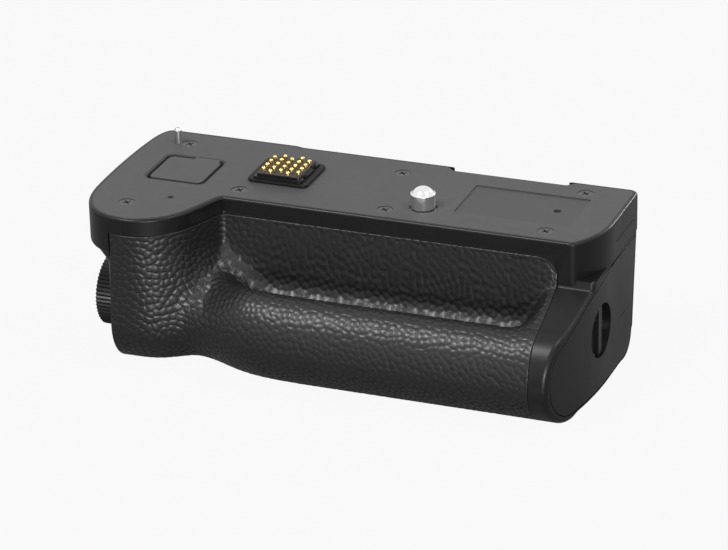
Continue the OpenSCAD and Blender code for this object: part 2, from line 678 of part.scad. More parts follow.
module top_plate() {
    color(plate_col) difference() {
        translate([0, 0, plate_z]) linear_extrude(plate_t) plate_outline(run);
        for (p = plate_screw_at) translate([p.x, p.y, 0]) {
            translate([0, 0, plate_z - over]) cylinder(d = screw_d + 2 * run, h = plate_t + over);
            translate([0, 0, -head_sink - head_t - run]) cylinder(d = screw_head_d + 2 * run, h = plate_t);
        }
        for (p = small_holes) translate([p.x, p.y, -small_hole_d]) cylinder(d = p.z, h = plate_t);
        translate([pin_at.x, pin_at.y, plate_z - over])
            cylinder(d = pin_root_d + 2 * run, h = plate_t + 2 * over);
        translate([0, 0, plate_z - over]) cylinder(d = screw_hole_d, h = plate_t + 2 * over);
        translate([0, 0, plate_z - over]) cylinder(d = bush_d + 2 * run, h = plate_t - bush_cover + over);
        translate([pocket_mid.x, pocket_mid.y, 0])
            slab(plate_z - over, over, rounded(pocket_w + 2 * run, pocket_w + 2 * run, pocket_r));
        translate([block_mid.x, block_mid.y, 0])
            slab(plate_z - over, over, rounded(block_w + 2 * loose, block_l + 2 * loose, 1));
        translate([panel_at.x, panel_at.y, -panel_d]) cube([panel_size.x, panel_size.y, over]);
    }
}
module plate_screws() {
    color(steel_col) for (p = plate_screw_at) translate([p.x, p.y, 0]) difference() {
        union() {
            translate([0, 0, -head_sink - head_t]) cylinder(d = screw_head_d, h = head_t);
            translate([0, 0, -screw_l]) cylinder(d = screw_d, h = screw_l - head_sink - head_t + eps);
        }
        for (a = [45, 135]) rotate(a) translate([-cross_l / 2, -cross_w / 2, -head_sink - cross_d])
            cube([cross_l, cross_w, head_t]);
    }
}
// A square insert with a groove round its middle, bridged at the back for the cap's hinge
module cap_pocket() {
    inner_w = pocket_w - 2 * pocket_rim;
    color(case_col) translate([pocket_mid.x, pocket_mid.y, 0]) difference() {
        slab(-pocket_d, -eps, rounded(pocket_w, pocket_w, pocket_r));
        difference() {
            slab(pocket_floor - pocket_d, over, rounded(inner_w, inner_w, pocket_r - pocket_rim));
            slab(-pocket_d, -eps, rounded(inner_w - 2 * pocket_groove, inner_w - 2 * pocket_groove,
                pocket_r - pocket_groove));
            translate([pocket_bridge[0], 0, -pocket_d])
                cube([pocket_bridge[1] - pocket_bridge[0], inner_w, pocket_d - eps]);
        }
    }
}
module locating_pin() {
    color(steel_col) translate([pin_at.x, pin_at.y, 0]) rotate_extrude()
        polygon([[0, -pin_root], [pin_root_d / 2, -pin_root], [pin_root_d / 2, 0], [pin_d / 2, 0],
            [pin_d / 2, pin_h - pin_chamfer], [pin_d / 2 - pin_chamfer, pin_h], [0, pin_h]]);
}

function pogo_at() = [for (c = [0 : pin_cols - 1]) let (odd = c % 2) for (r = [0 : pin_rows - 1 + odd])
    block_mid + [(c - (pin_cols - 1) / 2) * pitch_x, (r - (pin_rows - 1 + odd) / 2) * pitch_y]];
module connector_block() {
    color(case_col) difference() {
        translate([block_mid.x, block_mid.y, 0]) {
            slab(board_top, block_h - block_chamfer, rounded(block_w, block_l, 1));
            slab(block_h - block_chamfer - eps, block_h,
                rounded(block_w - 2 * block_chamfer, block_l - 2 * block_chamfer, 0.5));
        }
        for (p = pogo_at()) translate([p.x, p.y, board_top - over]) cylinder(d = pogo_d + 2 * run, h = 10);
        // Two slots in each side, for the hooks of the storage cap
        for (sx = [-1, 1]) for (sy = [-1, 1])
            translate([block_mid.x + sx * block_w / 2, block_mid.y + sy * slot_y, slot_z])
                cube(slot_size, center = true);
    }
}
module connector_seal() {
    color(skin_col) translate([block_mid.x, block_mid.y, 0]) difference() {
        slab(0, seal_t, rounded(block_w + 2 * seal_over.x, block_l + 2 * seal_over.y, 1.5));
        slab(-over, seal_t + over, rounded(block_w + 2 * run, block_l + 2 * run, 1));
    }
}
module pogo_pins() {
    low_z = board_top + pogo_travel + pogo_rest;
    r = pogo_d / 2;
    color(gold_col) for (p = pogo_at()) translate([p.x, p.y, 0]) rotate_extrude()
        polygon([[0, low_z], [r, low_z], [r, pogo_h - pogo_tip], [r - pogo_tip, pogo_h], [0, pogo_h]]);
}
module front_grip_skin() { color(skin_col) skin_loft(); }
module rear_thumb_skin() {
    color(skin_col) on_back(pad_at.x, pad_at.y)
        slab(pad_proud - pad_t, pad_proud, rounded(pad_size.x, pad_size.y, pad_r));
}

module camera_screw() {
    dome_r = (pow(cam_d / 2 - 0.3, 2) + cam_dome * cam_dome) / (2 * cam_dome);
    color(steel_col) rotate_extrude() polygon(concat(
        [[0, gear_z], [screw_shank_d / 2, gear_z], [screw_shank_d / 2, gear_top_z + 0.1],
            [screw_shoulder_d / 2, gear_top_z + 0.1], [screw_shoulder_d / 2, plate_z - 0.2],
            [screw_shank_d / 2, plate_z - 0.2], [screw_shank_d / 2, 0], [cam_d / 2, 0],
            [cam_d / 2, cam_h]],
        [for (i = [0 : 6]) let (x = (cam_d / 2 - 0.3) * (1 - i / 6))
            [x, cam_h + cam_dome - dome_r + sqrt(dome_r * dome_r - x * x)]]));
}
module screw_gear() {
    color(brass_col) difference() {
        translate([0, 0, gear_z]) rotate(wheel_turn) linear_extrude(gear_w - gear_step)
            gear_shape(screw_teeth, gear_m);
        translate([0, 0, gear_z - over]) cylinder(d = screw_shank_d + run, h = gear_w + 2 * over);
    }
}
module screw_bush() {
    color(steel_col) translate([0, 0, plate_z]) difference() {
        cylinder(d = bush_d, h = plate_t - bush_cover);
        translate([0, 0, -over]) cylinder(d = screw_shank_d + 2 * run, h = plate_t + 2 * over);
    }
}
module thumb_wheel() {
    color(case_col) translate([wheel_x, wheel_y, 0]) difference() {
        union() {
            translate([0, 0, gear_z]) rotate(wheel_turn + 180 + 180 / wheel_teeth)
                linear_extrude(gear_w) gear_shape(wheel_teeth, gear_m);
            translate([0, 0, gear_top_z]) linear_extrude(wheel_top_z - gear_top_z)
                knurl(wheel_r, knurls, knurl_h);
        }
        translate([0, 0, gear_z - over]) cylinder(d = axle_d + 2 * run, h = body_h);
        translate([0, 0, wheel_top_z - dish_d]) difference() {
            cylinder(r = wheel_r - dish_rim, h = body_h);
            cylinder(d = axle_d + 2 * dish_rim, h = body_h);
        }
    }
}
module wheel_axle() {
    color(steel_col) translate([wheel_x, wheel_y, well_z - axle_seat + eps])
        cylinder(d = axle_d, h = plate_z - well_z + axle_seat - 2 * eps);
}

module board_bosses() {
    for (p = boss_at) translate([p.x, p.y, board_well_z - eps])
        cylinder(d = boss_d, h = board_top - board_t - board_well_z + eps);
}
module board_screw_holes() {
    for (p = boss_at) translate([p.x, p.y, board_top - board_screw_l - loose])
        cylinder(d = small_d + 2 * run, h = board_screw_l + over);
}
module circuit_board() {
    color(board_col) difference() {
        translate([board_at.x, board_at.y, board_top - board_t]) cube([board_size.x, board_size.y, board_t]);
        board_screw_holes();
    }
}
module board_screws() {
    color(steel_col) for (p = boss_at) translate([p.x, p.y, board_top]) {
        cylinder(d = small_head_d, h = small_head_t);
        translate([0, 0, -board_screw_l]) cylinder(d = small_d, h = board_screw_l + eps);
    }
}
module bay_contacts() {
    color(gold_col) for (i = [-1 : 1])
        translate([bay_end_x, cell_mid_y + i * bay_contact_pitch, key_z])
            translate([0, -bay_contact_w / 2, -bay_contact_h / 2])
                cube([bay_contact_t, bay_contact_w, bay_contact_h]);
}

module shutter_button() {
    x0 = -shutter_out;
    l = end_wall_x + collar_in - 2 * eps - x0;
    color(case_col) translate([x0, shutter_y, shutter_z]) rotate([0, 90, 0]) rotate_extrude()
        polygon([[0, shutter_dish], [shutter_r / 2, shutter_dish * 0.7], [shutter_r - 0.8, 0],
            [shutter_r, 0.7], [shutter_r, l], [0, l]]);
}
collar_lip_x = end_wall_x - dial_w - 2 * dial_gap;
module shutter_collar() {
    collar_d = shutter_d + 2 * collar_t;
    color(steel_col) difference() {
        union() {
            rod_x(collar_lip_x - lip_t, end_wall_x + collar_in - run, shutter_y, shutter_z, collar_d);
            rod_x(collar_lip_x - lip_t, collar_lip_x, shutter_y, shutter_z, collar_d + 2 * lip_over);
        }
        rod_x(collar_lip_x - 5, end_wall_x + collar_in + over, shutter_y, shutter_z, shutter_d + 2 * run);
    }
}
module front_dial() {
    color(case_col) translate([end_wall_x - dial_gap - dial_w, shutter_y, shutter_z]) rotate([0, 90, 0])
        difference() {
            linear_extrude(dial_w) knurl(dial_d / 2, dial_ribs, rib_h);
            translate([0, 0, -over]) cylinder(d = shutter_d + 2 * collar_t + 2 * run, h = dial_w + 2 * over);
        }
}
module rear_dial() {
    color(case_col) translate([rear_dial_x, rear_y, rear_dial_z]) rotate([0, 90, 0]) difference() {
        linear_extrude(rear_dial_w) knurl(rear_dial_d / 2, rear_ribs, rib_h);
        translate([0, 0, -over]) cylinder(d = rear_axle_d + 2 * run, h = rear_dial_w + 2 * over);
    }
}
module rear_dial_axle() {
    color(steel_col) rod_x(rear_axle_x[0], rear_axle_x[1], rear_y, rear_dial_z, rear_axle_d);
}
module af_button() {
    color(case_col) on_back(af_x, af_z) translate([0, 0, -af_l]) {
        cylinder(d = af_d, h = af_l + af_out - af_step);
        cylinder(d = af_d - 2 * af_step, h = af_l + af_out);
    }
}
module tripod_socket() {
    color(steel_col) translate([socket_at.x, socket_at.y, base_z]) difference() {
        cylinder(d = socket_d, h = socket_h - run);
        translate([0, 0, -over]) cylinder(d = tripod_d, h = socket_thread + over);
    }
}

tray_profile = inset(bay_profile, bay_gap);
door_screw_at = [[cell_mid_y - 5.5, bay_floor_z + 2.6], [cell_mid_y + 5.5, bay_floor_z + 2.6],
    [cell_y1 + 3.8, bay_roof_z - 3.2]];
module tray_frame() {
    color(case_col) difference() {
        union() {
            for (i = [0 : cells_in_row]) let (x = tray_in_x + i * cell_step)
                along_x(x, x + tray_plate) polygon(tray_profile);
            translate([tray_in_x, tray_profile[0].x, tray_profile[0].y])
                cube([door_in_x - tray_in_x, tray_profile[1].x - tray_profile[0].x, tray_floor_t]);
            for (y = [bay_front_y + rail_in[0], bay_back_y - rail_in[1] - rail_w])
                translate([tray_in_x, y, rail_z]) cube([door_in_x - tray_in_x, rail_w, rail_h]);
        }
        rod_x(tray_out_x - eps, door_in_x + over, key_y, key_z, cam_room_d);
        for (p = door_screw_at) rod_x(tray_out_x - over, door_in_x + over, p.x, p.y, small_d + 2 * run);
    }
}
module tray_door() {
    color(case_col) difference() {
        intersection() {
            slab(-body_h - over, 0, end_plan);
            along_x(door_tip_x, right_reach + over) polygon(door_outline);
            union() {
                translate([door_in_x, -50, -body_h]) cube([20, 100, body_h]);
                translate([0, -50 - front_y, -body_h]) cube([100, 50, body_h]);
            }
        }
        rod_x(right_reach - key_depth - 0.4, right_reach + 1, key_y, key_z, key_d);
        rod_x(door_in_x - 1, right_reach, key_y, key_z, key_shaft_d + 2 * run);
        for (p = door_screw_at)
            rod_x(door_in_x - over, door_in_x + door_screw_in + loose, p.x, p.y, small_d + 2 * run);
    }
}
module door_screws() {
    color(steel_col) for (p = door_screw_at) {
        rod_x(tray_out_x - small_head_t, tray_out_x, p.x, p.y, small_head_d);
        rod_x(tray_out_x - eps, door_in_x + door_screw_in, p.x, p.y, small_d);
    }
}
module tray_cells() {
    color(cell_col) for (i = [0 : cells_in_row - 1]) for (c = cell_places)
        translate([tray_in_x + i * cell_step + tray_plate + contact_t + run + cell_l / 2, c.x, c.y])
            rotate([0, 90 * c.z, 0]) translate([0, 0, -cell_l / 2]) {
                cylinder(d = cell_d, h = cell_l - cell_nub);
                cylinder(d = cell_nub_d, h = cell_l);
            }
}
module tray_contacts() {
    color(gold_col) for (i = [0 : cells_in_row - 1]) for (c = cell_places)
        for (x = [tray_plate, cell_step - contact_t]) let (x0 = tray_in_x + i * cell_step + x)
            rod_x(x0, x0 + contact_t, c.x, c.y, contact_d);
}
module tray_latch() {
    x1 = right_reach - key_depth - 0.2;
    color(case_col) {
        rod_x(x1, x1 + key_plate, key_y, key_z, key_d - 2 * loose);
        translate([x1, key_y - fin_w / 2, key_z - key_d / 2 + fin_in])
            cube([key_depth - 0.4, fin_w, key_d - 2 * fin_in]);
        rod_x(door_in_x, x1 + eps, key_y, key_z, key_shaft_d);
        rod_x(cam_x, door_in_x + eps, key_y, key_z, cam_pin_d);
    }
}
module latch_cam() {
    color(steel_col) difference() {
        translate([cam_x, key_y - cam_bar_w / 2, key_z - cam_bar_l / 2])
            cube([cam_bar_t, cam_bar_w, cam_bar_l]);
        rod_x(cam_x - over, door_in_x + over, key_y, key_z, cam_pin_d + run);
    }
}

main_case();
top_plate();
plate_screws();
cap_pocket();
locating_pin();
connector_block();
connector_seal();
pogo_pins();
front_grip_skin();
rear_thumb_skin();
camera_screw();
screw_gear();
screw_bush();
thumb_wheel();
wheel_axle();
circuit_board();
board_screws();
bay_contacts();
shutter_button();
shutter_collar();
front_dial();
rear_dial();
rear_dial_axle();
af_button();
tripod_socket();
tray_frame();
tray_door();
door_screws();
tray_cells();
tray_contacts();
tray_latch();
latch_cam();
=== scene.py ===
import json
import math

import bmesh
import bpy
import numpy as np
from mathutils import Matrix, Vector
from mathutils.kdtree import KDTree


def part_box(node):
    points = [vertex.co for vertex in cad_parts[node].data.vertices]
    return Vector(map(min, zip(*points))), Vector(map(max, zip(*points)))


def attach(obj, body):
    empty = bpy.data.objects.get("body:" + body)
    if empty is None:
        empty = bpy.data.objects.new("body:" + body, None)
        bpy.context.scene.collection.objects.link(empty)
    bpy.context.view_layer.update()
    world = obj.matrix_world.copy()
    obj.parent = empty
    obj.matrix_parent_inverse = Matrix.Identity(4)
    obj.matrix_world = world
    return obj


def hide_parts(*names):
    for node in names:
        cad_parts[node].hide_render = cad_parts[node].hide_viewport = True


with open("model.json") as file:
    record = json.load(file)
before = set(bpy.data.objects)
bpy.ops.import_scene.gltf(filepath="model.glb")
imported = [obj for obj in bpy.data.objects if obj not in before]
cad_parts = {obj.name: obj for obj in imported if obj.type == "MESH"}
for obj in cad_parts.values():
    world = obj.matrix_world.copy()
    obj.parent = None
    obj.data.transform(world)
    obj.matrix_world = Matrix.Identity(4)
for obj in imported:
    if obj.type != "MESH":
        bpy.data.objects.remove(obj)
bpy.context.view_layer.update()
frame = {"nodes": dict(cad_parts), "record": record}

bl_info = {
    "name": "Camera battery grip",
    "version": (1, 0, 0),
    "blender": (4, 5, 0),
    "location": "View3D > Sidebar > Grip",
    "description": "Dresses a camera battery grip with its mouldings, finishes, light and camera",
    "category": "Object",
}

RECORD = frame["record"]
BODY_OF = {node: body for body, nodes in RECORD["behaviour"]["bodies"].items() for node in nodes}
SLOT_OF = {part["node"]: part["material_slot"] for part in RECORD["subparts"]}
MM = 0.001


def node_box(node):
    """Lowest and highest corner of a node in millimetres."""
    return [np.array(corner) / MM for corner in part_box(node)]


def node_middle(node):
    return sum(node_box(node)) / 2


def node_radius(node, axis):
    low, high = node_box(node)
    return (high[axis] - low[axis]) / 2


# Main sizes of the moulding in millimetres, measured on the frame
CASE_LOW, CASE_HIGH = node_box("main_case")
SKIN_LOW, SKIN_HIGH = node_box("front_grip_skin")
LEFT_REACH = -CASE_LOW[0]
RIGHT_REACH = CASE_HIGH[0]
BASE_Z = CASE_LOW[2]
BACK_LIP = 0.6
BACK_Y = CASE_HIGH[1] - BACK_LIP
SKIN_X0, SKIN_X1 = SKIN_LOW[0], SKIN_HIGH[0]
BULGE_Y = -CASE_LOW[1]
FRONT_Y = 9.8
FLANGE_H = 10.4
CORNER_H = 11.7
CORNER_RUN = 6.0
EDGE_REACH = 1.0
FLANGE_OVER = 6.3
RIM_W = 1.0
NOSE_Y = 30.5
BAND_Z = SKIN_HIGH[2]

# Hand grip
WAIST, WAIST_LEFT, WAIST_RIGHT = 5.6, 7.0, 12.0
NOSE_OVER = 0.7
BULGE_FULL_X = -20.0
TIP_R = 12.3
TIP_Z = BASE_Z + TIP_R
CREST_RISE = 11.7
CREST_BACK = 9.0
CREST_Z = TIP_Z + CREST_RISE
FLOOR_Z = CREST_Z - 6.5
WALL_END_Z = FLOOR_Z + 5.5
WALL_LEAN = 0.7
FILLET_W = 4.1
SKIN_T = 1.0
LEDGE_Z = 0.4 - FLANGE_H
CHEEK_Z = -CORNER_H - 0.4
CHEEK_Y = 0.7 - FRONT_Y
CHEEK_RISE = 0.6
SLOPE_H = 3.4
SLOPE_SET = 0.6
SLOPE_LAP = 0.4

# Ends and back wall
END_WALL_X = FLANGE_OVER - LEFT_REACH
NOSE_X = 15.8 - LEFT_REACH
FLANK_X = 29.7 - LEFT_REACH
CORNER_X = 33.4 - LEFT_REACH
WAIST_X = CORNER_X - 3.1
GROOVE_X0, GROOVE_X1 = CORNER_X - 6.5, CORNER_X + 15
GROOVE_END_X = SKIN_X1 - 9.4
BASE_CORNER_R = 4.0
END_R = 114.0
END_FLAT_Y = 1.5
END_ROUND = 1.2
BACK_TOP = BACK_Y - 0.7
DRAFT = 0.109
BACK_R = 6.5

# A section of the grip runs through four stretches: wall, fillet, rise and crown
WALL_STEPS, FILLET_STEPS, RISE_STEPS, CROWN_STEPS = 3, 3, 6, 7
CREST_STEP = WALL_STEPS + FILLET_STEPS + RISE_STEPS
LAST_STEP = CREST_STEP + CROWN_STEPS
UNDER_ANGLE = 255.0
UPPER_STEPS = np.linspace(0, LAST_STEP, 115)
UNDER_STEPS = np.linspace(180, UNDER_ANGLE, 26)[1:]
BACK_COUNT = len(UPPER_STEPS) + len(UNDER_STEPS) + 4
BLEND_ROUNDS = 24


def ramp(x, low, high):
    """Smooth step from 0 at low to 1 at high."""
    w = np.clip((np.asarray(x, float) - low) / (high - low), 0, 1)
    return w * w * (3 - 2 * w)


def lerp(a, b, w):
    return a + (b - a) * w


def bezier(points, count, first=0, drop=0):
    """Points along a cubic curve."""
    p = np.array(points, float)
    t = np.linspace(0, 1, count + 1)[first:count + 1 - drop, None]
    return (1 - t) ** 3 * p[0] + 3 * (1 - t) ** 2 * t * p[1] + 3 * (1 - t) * t ** 2 * p[2] + t ** 3 * p[3]


def polar(radius, angles):
    a = np.radians(angles)
    return radius * np.column_stack([np.cos(a), np.sin(a)])


def arc(centre, radius, start, end, count):
    return np.array(centre) + polar(radius, np.linspace(start, end, count + 1))


def left_normals(steps):
    steps = steps / np.linalg.norm(steps, axis=1)[:, None]
    return np.column_stack([-steps[:, 1], steps[:, 0]])


def inset(outline, distance):
    """Moves a closed outline, listed anticlockwise, inwards."""
    a = left_normals(outline - np.roll(outline, 1, axis=0))
    b = left_normals(np.roll(outline, -1, axis=0) - outline)
    return outline + distance * (a + b) / (1 + np.sum(a * b, axis=1))[:, None]


def shift_chain(chain, distance):
    """Moves an open chain sideways."""
    ahead = np.vstack([chain[1:], chain[-1:]])
    behind = np.vstack([chain[:1], chain[:-1]])
    return chain + distance * left_normals(ahead - behind)


def rounded_rectangle(width, length, radius, count=6):
    x, y = width / 2 - radius, length / 2 - radius
    corners = [((x, y), 0), ((-x, y), 90), ((-x, -y), 180), ((x, -y), 270)]
    return np.vstack([arc(c, radius, a, a + 90, count) for c, a in corners])


def rectangle(x0, y0, x1, y1):
    return np.array([(x0, y0), (x1, y0), (x1, y1), (x0, y1)])


def circle(radius, centre=(0, 0), count=64):
    return np.array(centre) + polar(radius, np.linspace(0, 360, count, endpoint=False))


# Plan of the flange
NOSE_LEFT = [(0.5 - LEFT_REACH, -13), (1.3 - LEFT_REACH, -24.5), (6.8 - LEFT_REACH, -NOSE_Y), (NOSE_X, -NOSE_Y)]
NOSE_RIGHT = [(NOSE_X, -NOSE_Y), (NOSE_X + 6, -NOSE_Y), (FLANK_X - 2.2, 4.9 - NOSE_Y), (FLANK_X, 10.5 - NOSE_Y)]
FLANK_END = (CORNER_X, -FRONT_Y - 1)
RIGHT_CORNER = [(RIGHT_REACH - 5.8, -FRONT_Y), (RIGHT_REACH - 3, 3.2 - FRONT_Y), (RIGHT_REACH, 7.8 - FRONT_Y),
                (RIGHT_REACH, 6)]
LEFT_BACK = [(5 - LEFT_REACH, BACK_Y + BACK_LIP), (1.8 - LEFT_REACH, BACK_Y + BACK_LIP), (1.1 - LEFT_REACH, 22),
             (0.7 - LEFT_REACH, 16)]
LEFT_SIDE = [(0.7 - LEFT_REACH, 16), (-LEFT_REACH, 7), (-LEFT_REACH, -5), (0.5 - LEFT_REACH, -13)]
LOW_CORNER = [(END_WALL_X, -15), (END_WALL_X, -21.5), (END_WALL_X + 2, -25.5), (SKIN_X0 - 0.05, 2.4 - NOSE_Y)]


def front_edge():
    """The rounded edge where the straight front meets the cut right corner."""
    middle, ahead = (np.array(p) for p in RIGHT_CORNER[:2])
    t = np.linspace(0, 1, 9)[:, None]
    a = middle - [EDGE_REACH, 0]
    b = middle + EDGE_REACH * (ahead - middle) / np.linalg.norm(ahead - middle)
    return lerp(lerp(a, middle, t), lerp(middle, b, t), t)


def top_outline():
    return np.vstack([
        bezier(NOSE_LEFT, 28), bezier(NOSE_RIGHT, 22, 1), [FLANK_END, (CORNER_X + 0.9, -FRONT_Y)],
        front_edge(), bezier(RIGHT_CORNER, 20, 2), arc((RIGHT_REACH - 2.5, BACK_Y - 2.5), 2.5, 0, 90, 10),
        [(CORNER_X + 8, BACK_Y), (CORNER_X + 6, BACK_Y + BACK_LIP)], bezier(LEFT_BACK, 16),
        bezier(LEFT_SIDE, 20, 1, 1)])


def end_x(y):
    """The convex end face in plan."""
    reach = np.clip(END_FLAT_Y - np.asarray(y, float), 0, None)
    return RIGHT_REACH - END_R + np.sqrt(END_R ** 2 - reach ** 2)


def back_wall(z):
    return BACK_TOP + DRAFT * z


def groove_section(step):
    """Distance in front of the wall and height of the finger groove's section at each step."""
    tip = BULGE_Y - FRONT_Y
    crest = tip - CREST_BACK
    wall = np.clip(step / WALL_STEPS, 0, 1)
    fillet = np.radians(90 * np.clip((step - WALL_STEPS) / FILLET_STEPS, 0, 1))
    rise = np.clip((step - WALL_STEPS - FILLET_STEPS) / RISE_STEPS, 0, 1)
    crown = np.radians(90 - 90 * np.clip((step - CREST_STEP) / CROWN_STEPS, 0, 1))
    out = np.select(
        [step <= WALL_STEPS, step <= WALL_STEPS + FILLET_STEPS, step <= CREST_STEP],
        [WALL_LEAN * wall, WALL_LEAN + FILLET_W * (1 - np.cos(fillet)), lerp(WALL_LEAN + FILLET_W, crest, rise)],
        crest + CREST_BACK * np.cos(crown))
    height = np.select(
        [step <= WALL_STEPS, step <= WALL_STEPS + FILLET_STEPS, step <= CREST_STEP],
        [lerp(BAND_Z, WALL_END_Z, wall), WALL_END_Z + (FLOOR_Z - WALL_END_Z) * np.sin(fillet),
         lerp(FLOOR_Z, CREST_Z, (1 - np.cos(np.pi * rise)) / 2)],
        TIP_Z + CREST_RISE * np.sin(crown))
    return out, height


def front_chain(station, top_z, chosen=UPPER_STEPS, under=UNDER_STEPS):
    """Section of the grip's front in Y and Z, blended, from top_z down and under the bulge."""
    _, top_y, tip_y, groove, cheek = station
    steps = UPPER_STEPS
    out, height = groove_section(steps)
    crest_out = groove_section(np.array([CREST_STEP]))[0][0]
    wall = steps <= WALL_STEPS
    plain = lerp(top_z, TIP_Z, steps / LAST_STEP)
    full = np.where(wall, lerp(top_z, WALL_END_Z, steps / WALL_STEPS), height)
    slope = np.where(wall, lerp(top_z, CHEEK_Z, steps / WALL_STEPS),
                     lerp(CHEEK_Z, CREST_Z + CHEEK_RISE, (out - WALL_LEAN) / (crest_out - WALL_LEAN)))
    slope = np.where(steps > CREST_STEP, height + CHEEK_RISE * (LAST_STEP - steps) / CROWN_STEPS, slope)
    front = np.column_stack([lerp(top_y, tip_y, out / (BULGE_Y - FRONT_Y)),
                             lerp(lerp(plain, full, groove), slope, cheek)])
    for _ in range(BLEND_ROUNDS):
        front[1:-1] = front[:-2] / 4 + front[1:-1] / 2 + front[2:] / 4
    front = np.column_stack([np.interp(chosen, steps, column) for column in front.T])
    return np.vstack([front, np.array([tip_y + TIP_R, TIP_Z]) + polar(TIP_R, under)])


def foot(tip_y):
    return np.array([tip_y + TIP_R, TIP_Z]) + polar(TIP_R, [UNDER_ANGLE + 1, 263, 270])


def back_chain(top_z, corner, count):
    """The back wall from the base up."""
    centre = (back_wall(BASE_Z) - BACK_R, BASE_Z + BACK_R)
    low = arc(centre, BACK_R, 270, 354, 12) - [corner, 0]
    z = np.linspace(BASE_Z + BACK_R, top_z, count - len(low) + 1)[1:]
    return np.vstack([low, np.column_stack([back_wall(z) - corner, z])])


def bulge_front(x):
    side = np.where(x < WAIST_X, WAIST_LEFT, WAIST_RIGHT)
    bulge = lerp(-NOSE_Y - NOSE_OVER, -BULGE_Y, ramp(x, NOSE_X, BULGE_FULL_X))
    return bulge + WAIST * np.exp(-((x - WAIST_X) / side) ** 2)


def station(x, top_y):
    """One station along the grip: x, front of the wall, front of the bulge, groove and cheek shares."""
    return (x, top_y, float(bulge_front(x)), float(ramp(x, GROOVE_X0, GROOVE_X1)),
            float(ramp(x, GROOVE_END_X, SKIN_X1 - 1)))


def skin_plan(density=1.0):
    """Plan of the leather from its left edge to its right edge."""
    def steps(count):
        return round(density * count)
    lead = [(SKIN_X0, 0.85 - NOSE_Y), (SKIN_X0 + 1.4, 0.3 - NOSE_Y), (NOSE_X - 1.5, -NOSE_Y), (NOSE_X, -NOSE_Y)]
    flank = [lerp(np.array(NOSE_RIGHT[3]), np.array(FLANK_END), w) for w in np.linspace(0, 1, steps(17))[1:]]
    corner = bezier([FLANK_END, (CORNER_X + 0.4, -FRONT_Y - 0.3), (CORNER_X + 0.9, -FRONT_Y),
                     (CORNER_X + 2, -FRONT_Y)], 6, 1)
    wall = [(x, -FRONT_Y) for x in np.linspace(CORNER_X + 2, SKIN_X1, steps(180))[1:]]
    return np.vstack([bezier(lead, steps(9)), bezier(NOSE_RIGHT, steps(40), 1), flank, corner, wall])


# Meshes
def add_object(name, data):
    piece = bpy.data.objects.new(name, data)
    bpy.context.scene.collection.objects.link(piece)
    return piece


def add_mesh(name, points, faces):
    """A mesh object from points in millimetres."""
    mesh = bpy.data.meshes.new(name)
    mesh.from_pydata((np.asarray(points, float) * MM).tolist(), [], faces)
    tidy = bmesh.new()
    tidy.from_mesh(mesh)
    bmesh.ops.recalc_face_normals(tidy, faces=tidy.faces)
    tidy.to_mesh(mesh)
    tidy.free()
    return add_object(name, mesh)


def ring_faces(rings, count):
    return [(k * count + j, k * count + (j + 1) % count, (k + 1) * count + (j + 1) % count, (k + 1) * count + j)
            for k in range(rings - 1) for j in range(count)]


def loft(name, rings, caps=None):
    """Joins rings of equal length. Flat ends are closed with one face each unless caps are given."""
    count = len(rings[0])
    points = np.vstack(rings)
    last = (len(rings) - 1) * count
    if caps is None:
        caps = [tuple(range(count))[::-1], tuple(range(last, last + count))]
    return add_mesh(name, points, ring_faces(len(rings), count) + caps)


def at_z(outline, z):
    return np.column_stack([outline, np.broadcast_to(z, len(outline))])


def at_x(outline, x):
    return np.column_stack([np.full(len(outline), x), outline])


def prism_z(name, outline, low, high):
    return loft(name, [at_z(outline, low), at_z(outline, high)])


def prism_x(name, outline, low, high):
    return loft(name, [at_x(outline, low), at_x(outline, high)])


def baked(piece):
    """Applies a piece's modifiers to its mesh."""
    graph = bpy.context.evaluated_depsgraph_get()
    mesh = bpy.data.meshes.new_from_object(piece.evaluated_get(graph), preserve_all_data_layers=True, depsgraph=graph)
    piece.modifiers.clear()
    piece.data = mesh
    return piece


def carve(piece, tools, operation="DIFFERENCE"):
    """Cuts tools from a piece, or joins them to it, and removes them."""
    for tool in tools:
        cut = piece.modifiers.new("cut", "BOOLEAN")
        cut.operation = operation
        cut.solver = "MANIFOLD"
        cut.object = tool
    baked(piece)
    for tool in tools:
        bpy.data.objects.remove(tool)
    return piece


def soften(piece, width, segments=2, angle=35):
    """Rounds the sharp edges of a piece by a width in millimetres."""
    bevel = piece.modifiers.new("round", "BEVEL")
    bevel.width = width * MM
    bevel.segments = segments
    bevel.limit_method = "ANGLE"
    bevel.angle_limit = math.radians(angle)
    bevel.use_clamp_overlap = True
    return baked(piece)


def shade(piece, angle=32):
    """Smooth shading, broken at sharp edges."""
    mesh = piece.data
    form = bmesh.new()
    form.from_mesh(mesh)
    limit = math.radians(angle)
    for edge in form.edges:
        edge.smooth = len(edge.link_faces) == 2 and edge.calc_face_angle(0) < limit
    for face in form.faces:
        face.smooth = True
    form.to_mesh(mesh)
    form.free()
    weigh = piece.modifiers.new("flat", "WEIGHTED_NORMAL")
    weigh.keep_sharp = True
    return baked(piece)


def dress(piece, nodes, material):
    """Puts a finished piece in place of frame nodes, on their body and in their material slot."""
    piece.data.materials.clear()
    piece.data.materials.append(material)
    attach(piece, BODY_OF[nodes[0]])
    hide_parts(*nodes)
    return piece


# Welding distance in millimetres and greatest bend in degrees within a flat face
WELD, FLAT_BEND = 0.002, 0.5


def copy_node(node, name, rounding):
    """A welded copy of a node's mesh with its edges rounded."""
    mesh = frame["nodes"][node].data.copy()
    form = bmesh.new()
    form.from_mesh(mesh)
    bmesh.ops.remove_doubles(form, verts=form.verts, dist=WELD * MM)
    bmesh.ops.dissolve_limit(form, angle_limit=math.radians(FLAT_BEND), verts=form.verts, edges=form.edges)
    form.to_mesh(mesh)
    form.free()
    piece = add_object(name, mesh)
    if rounding:
        soften(piece, rounding)
    return shade(piece)


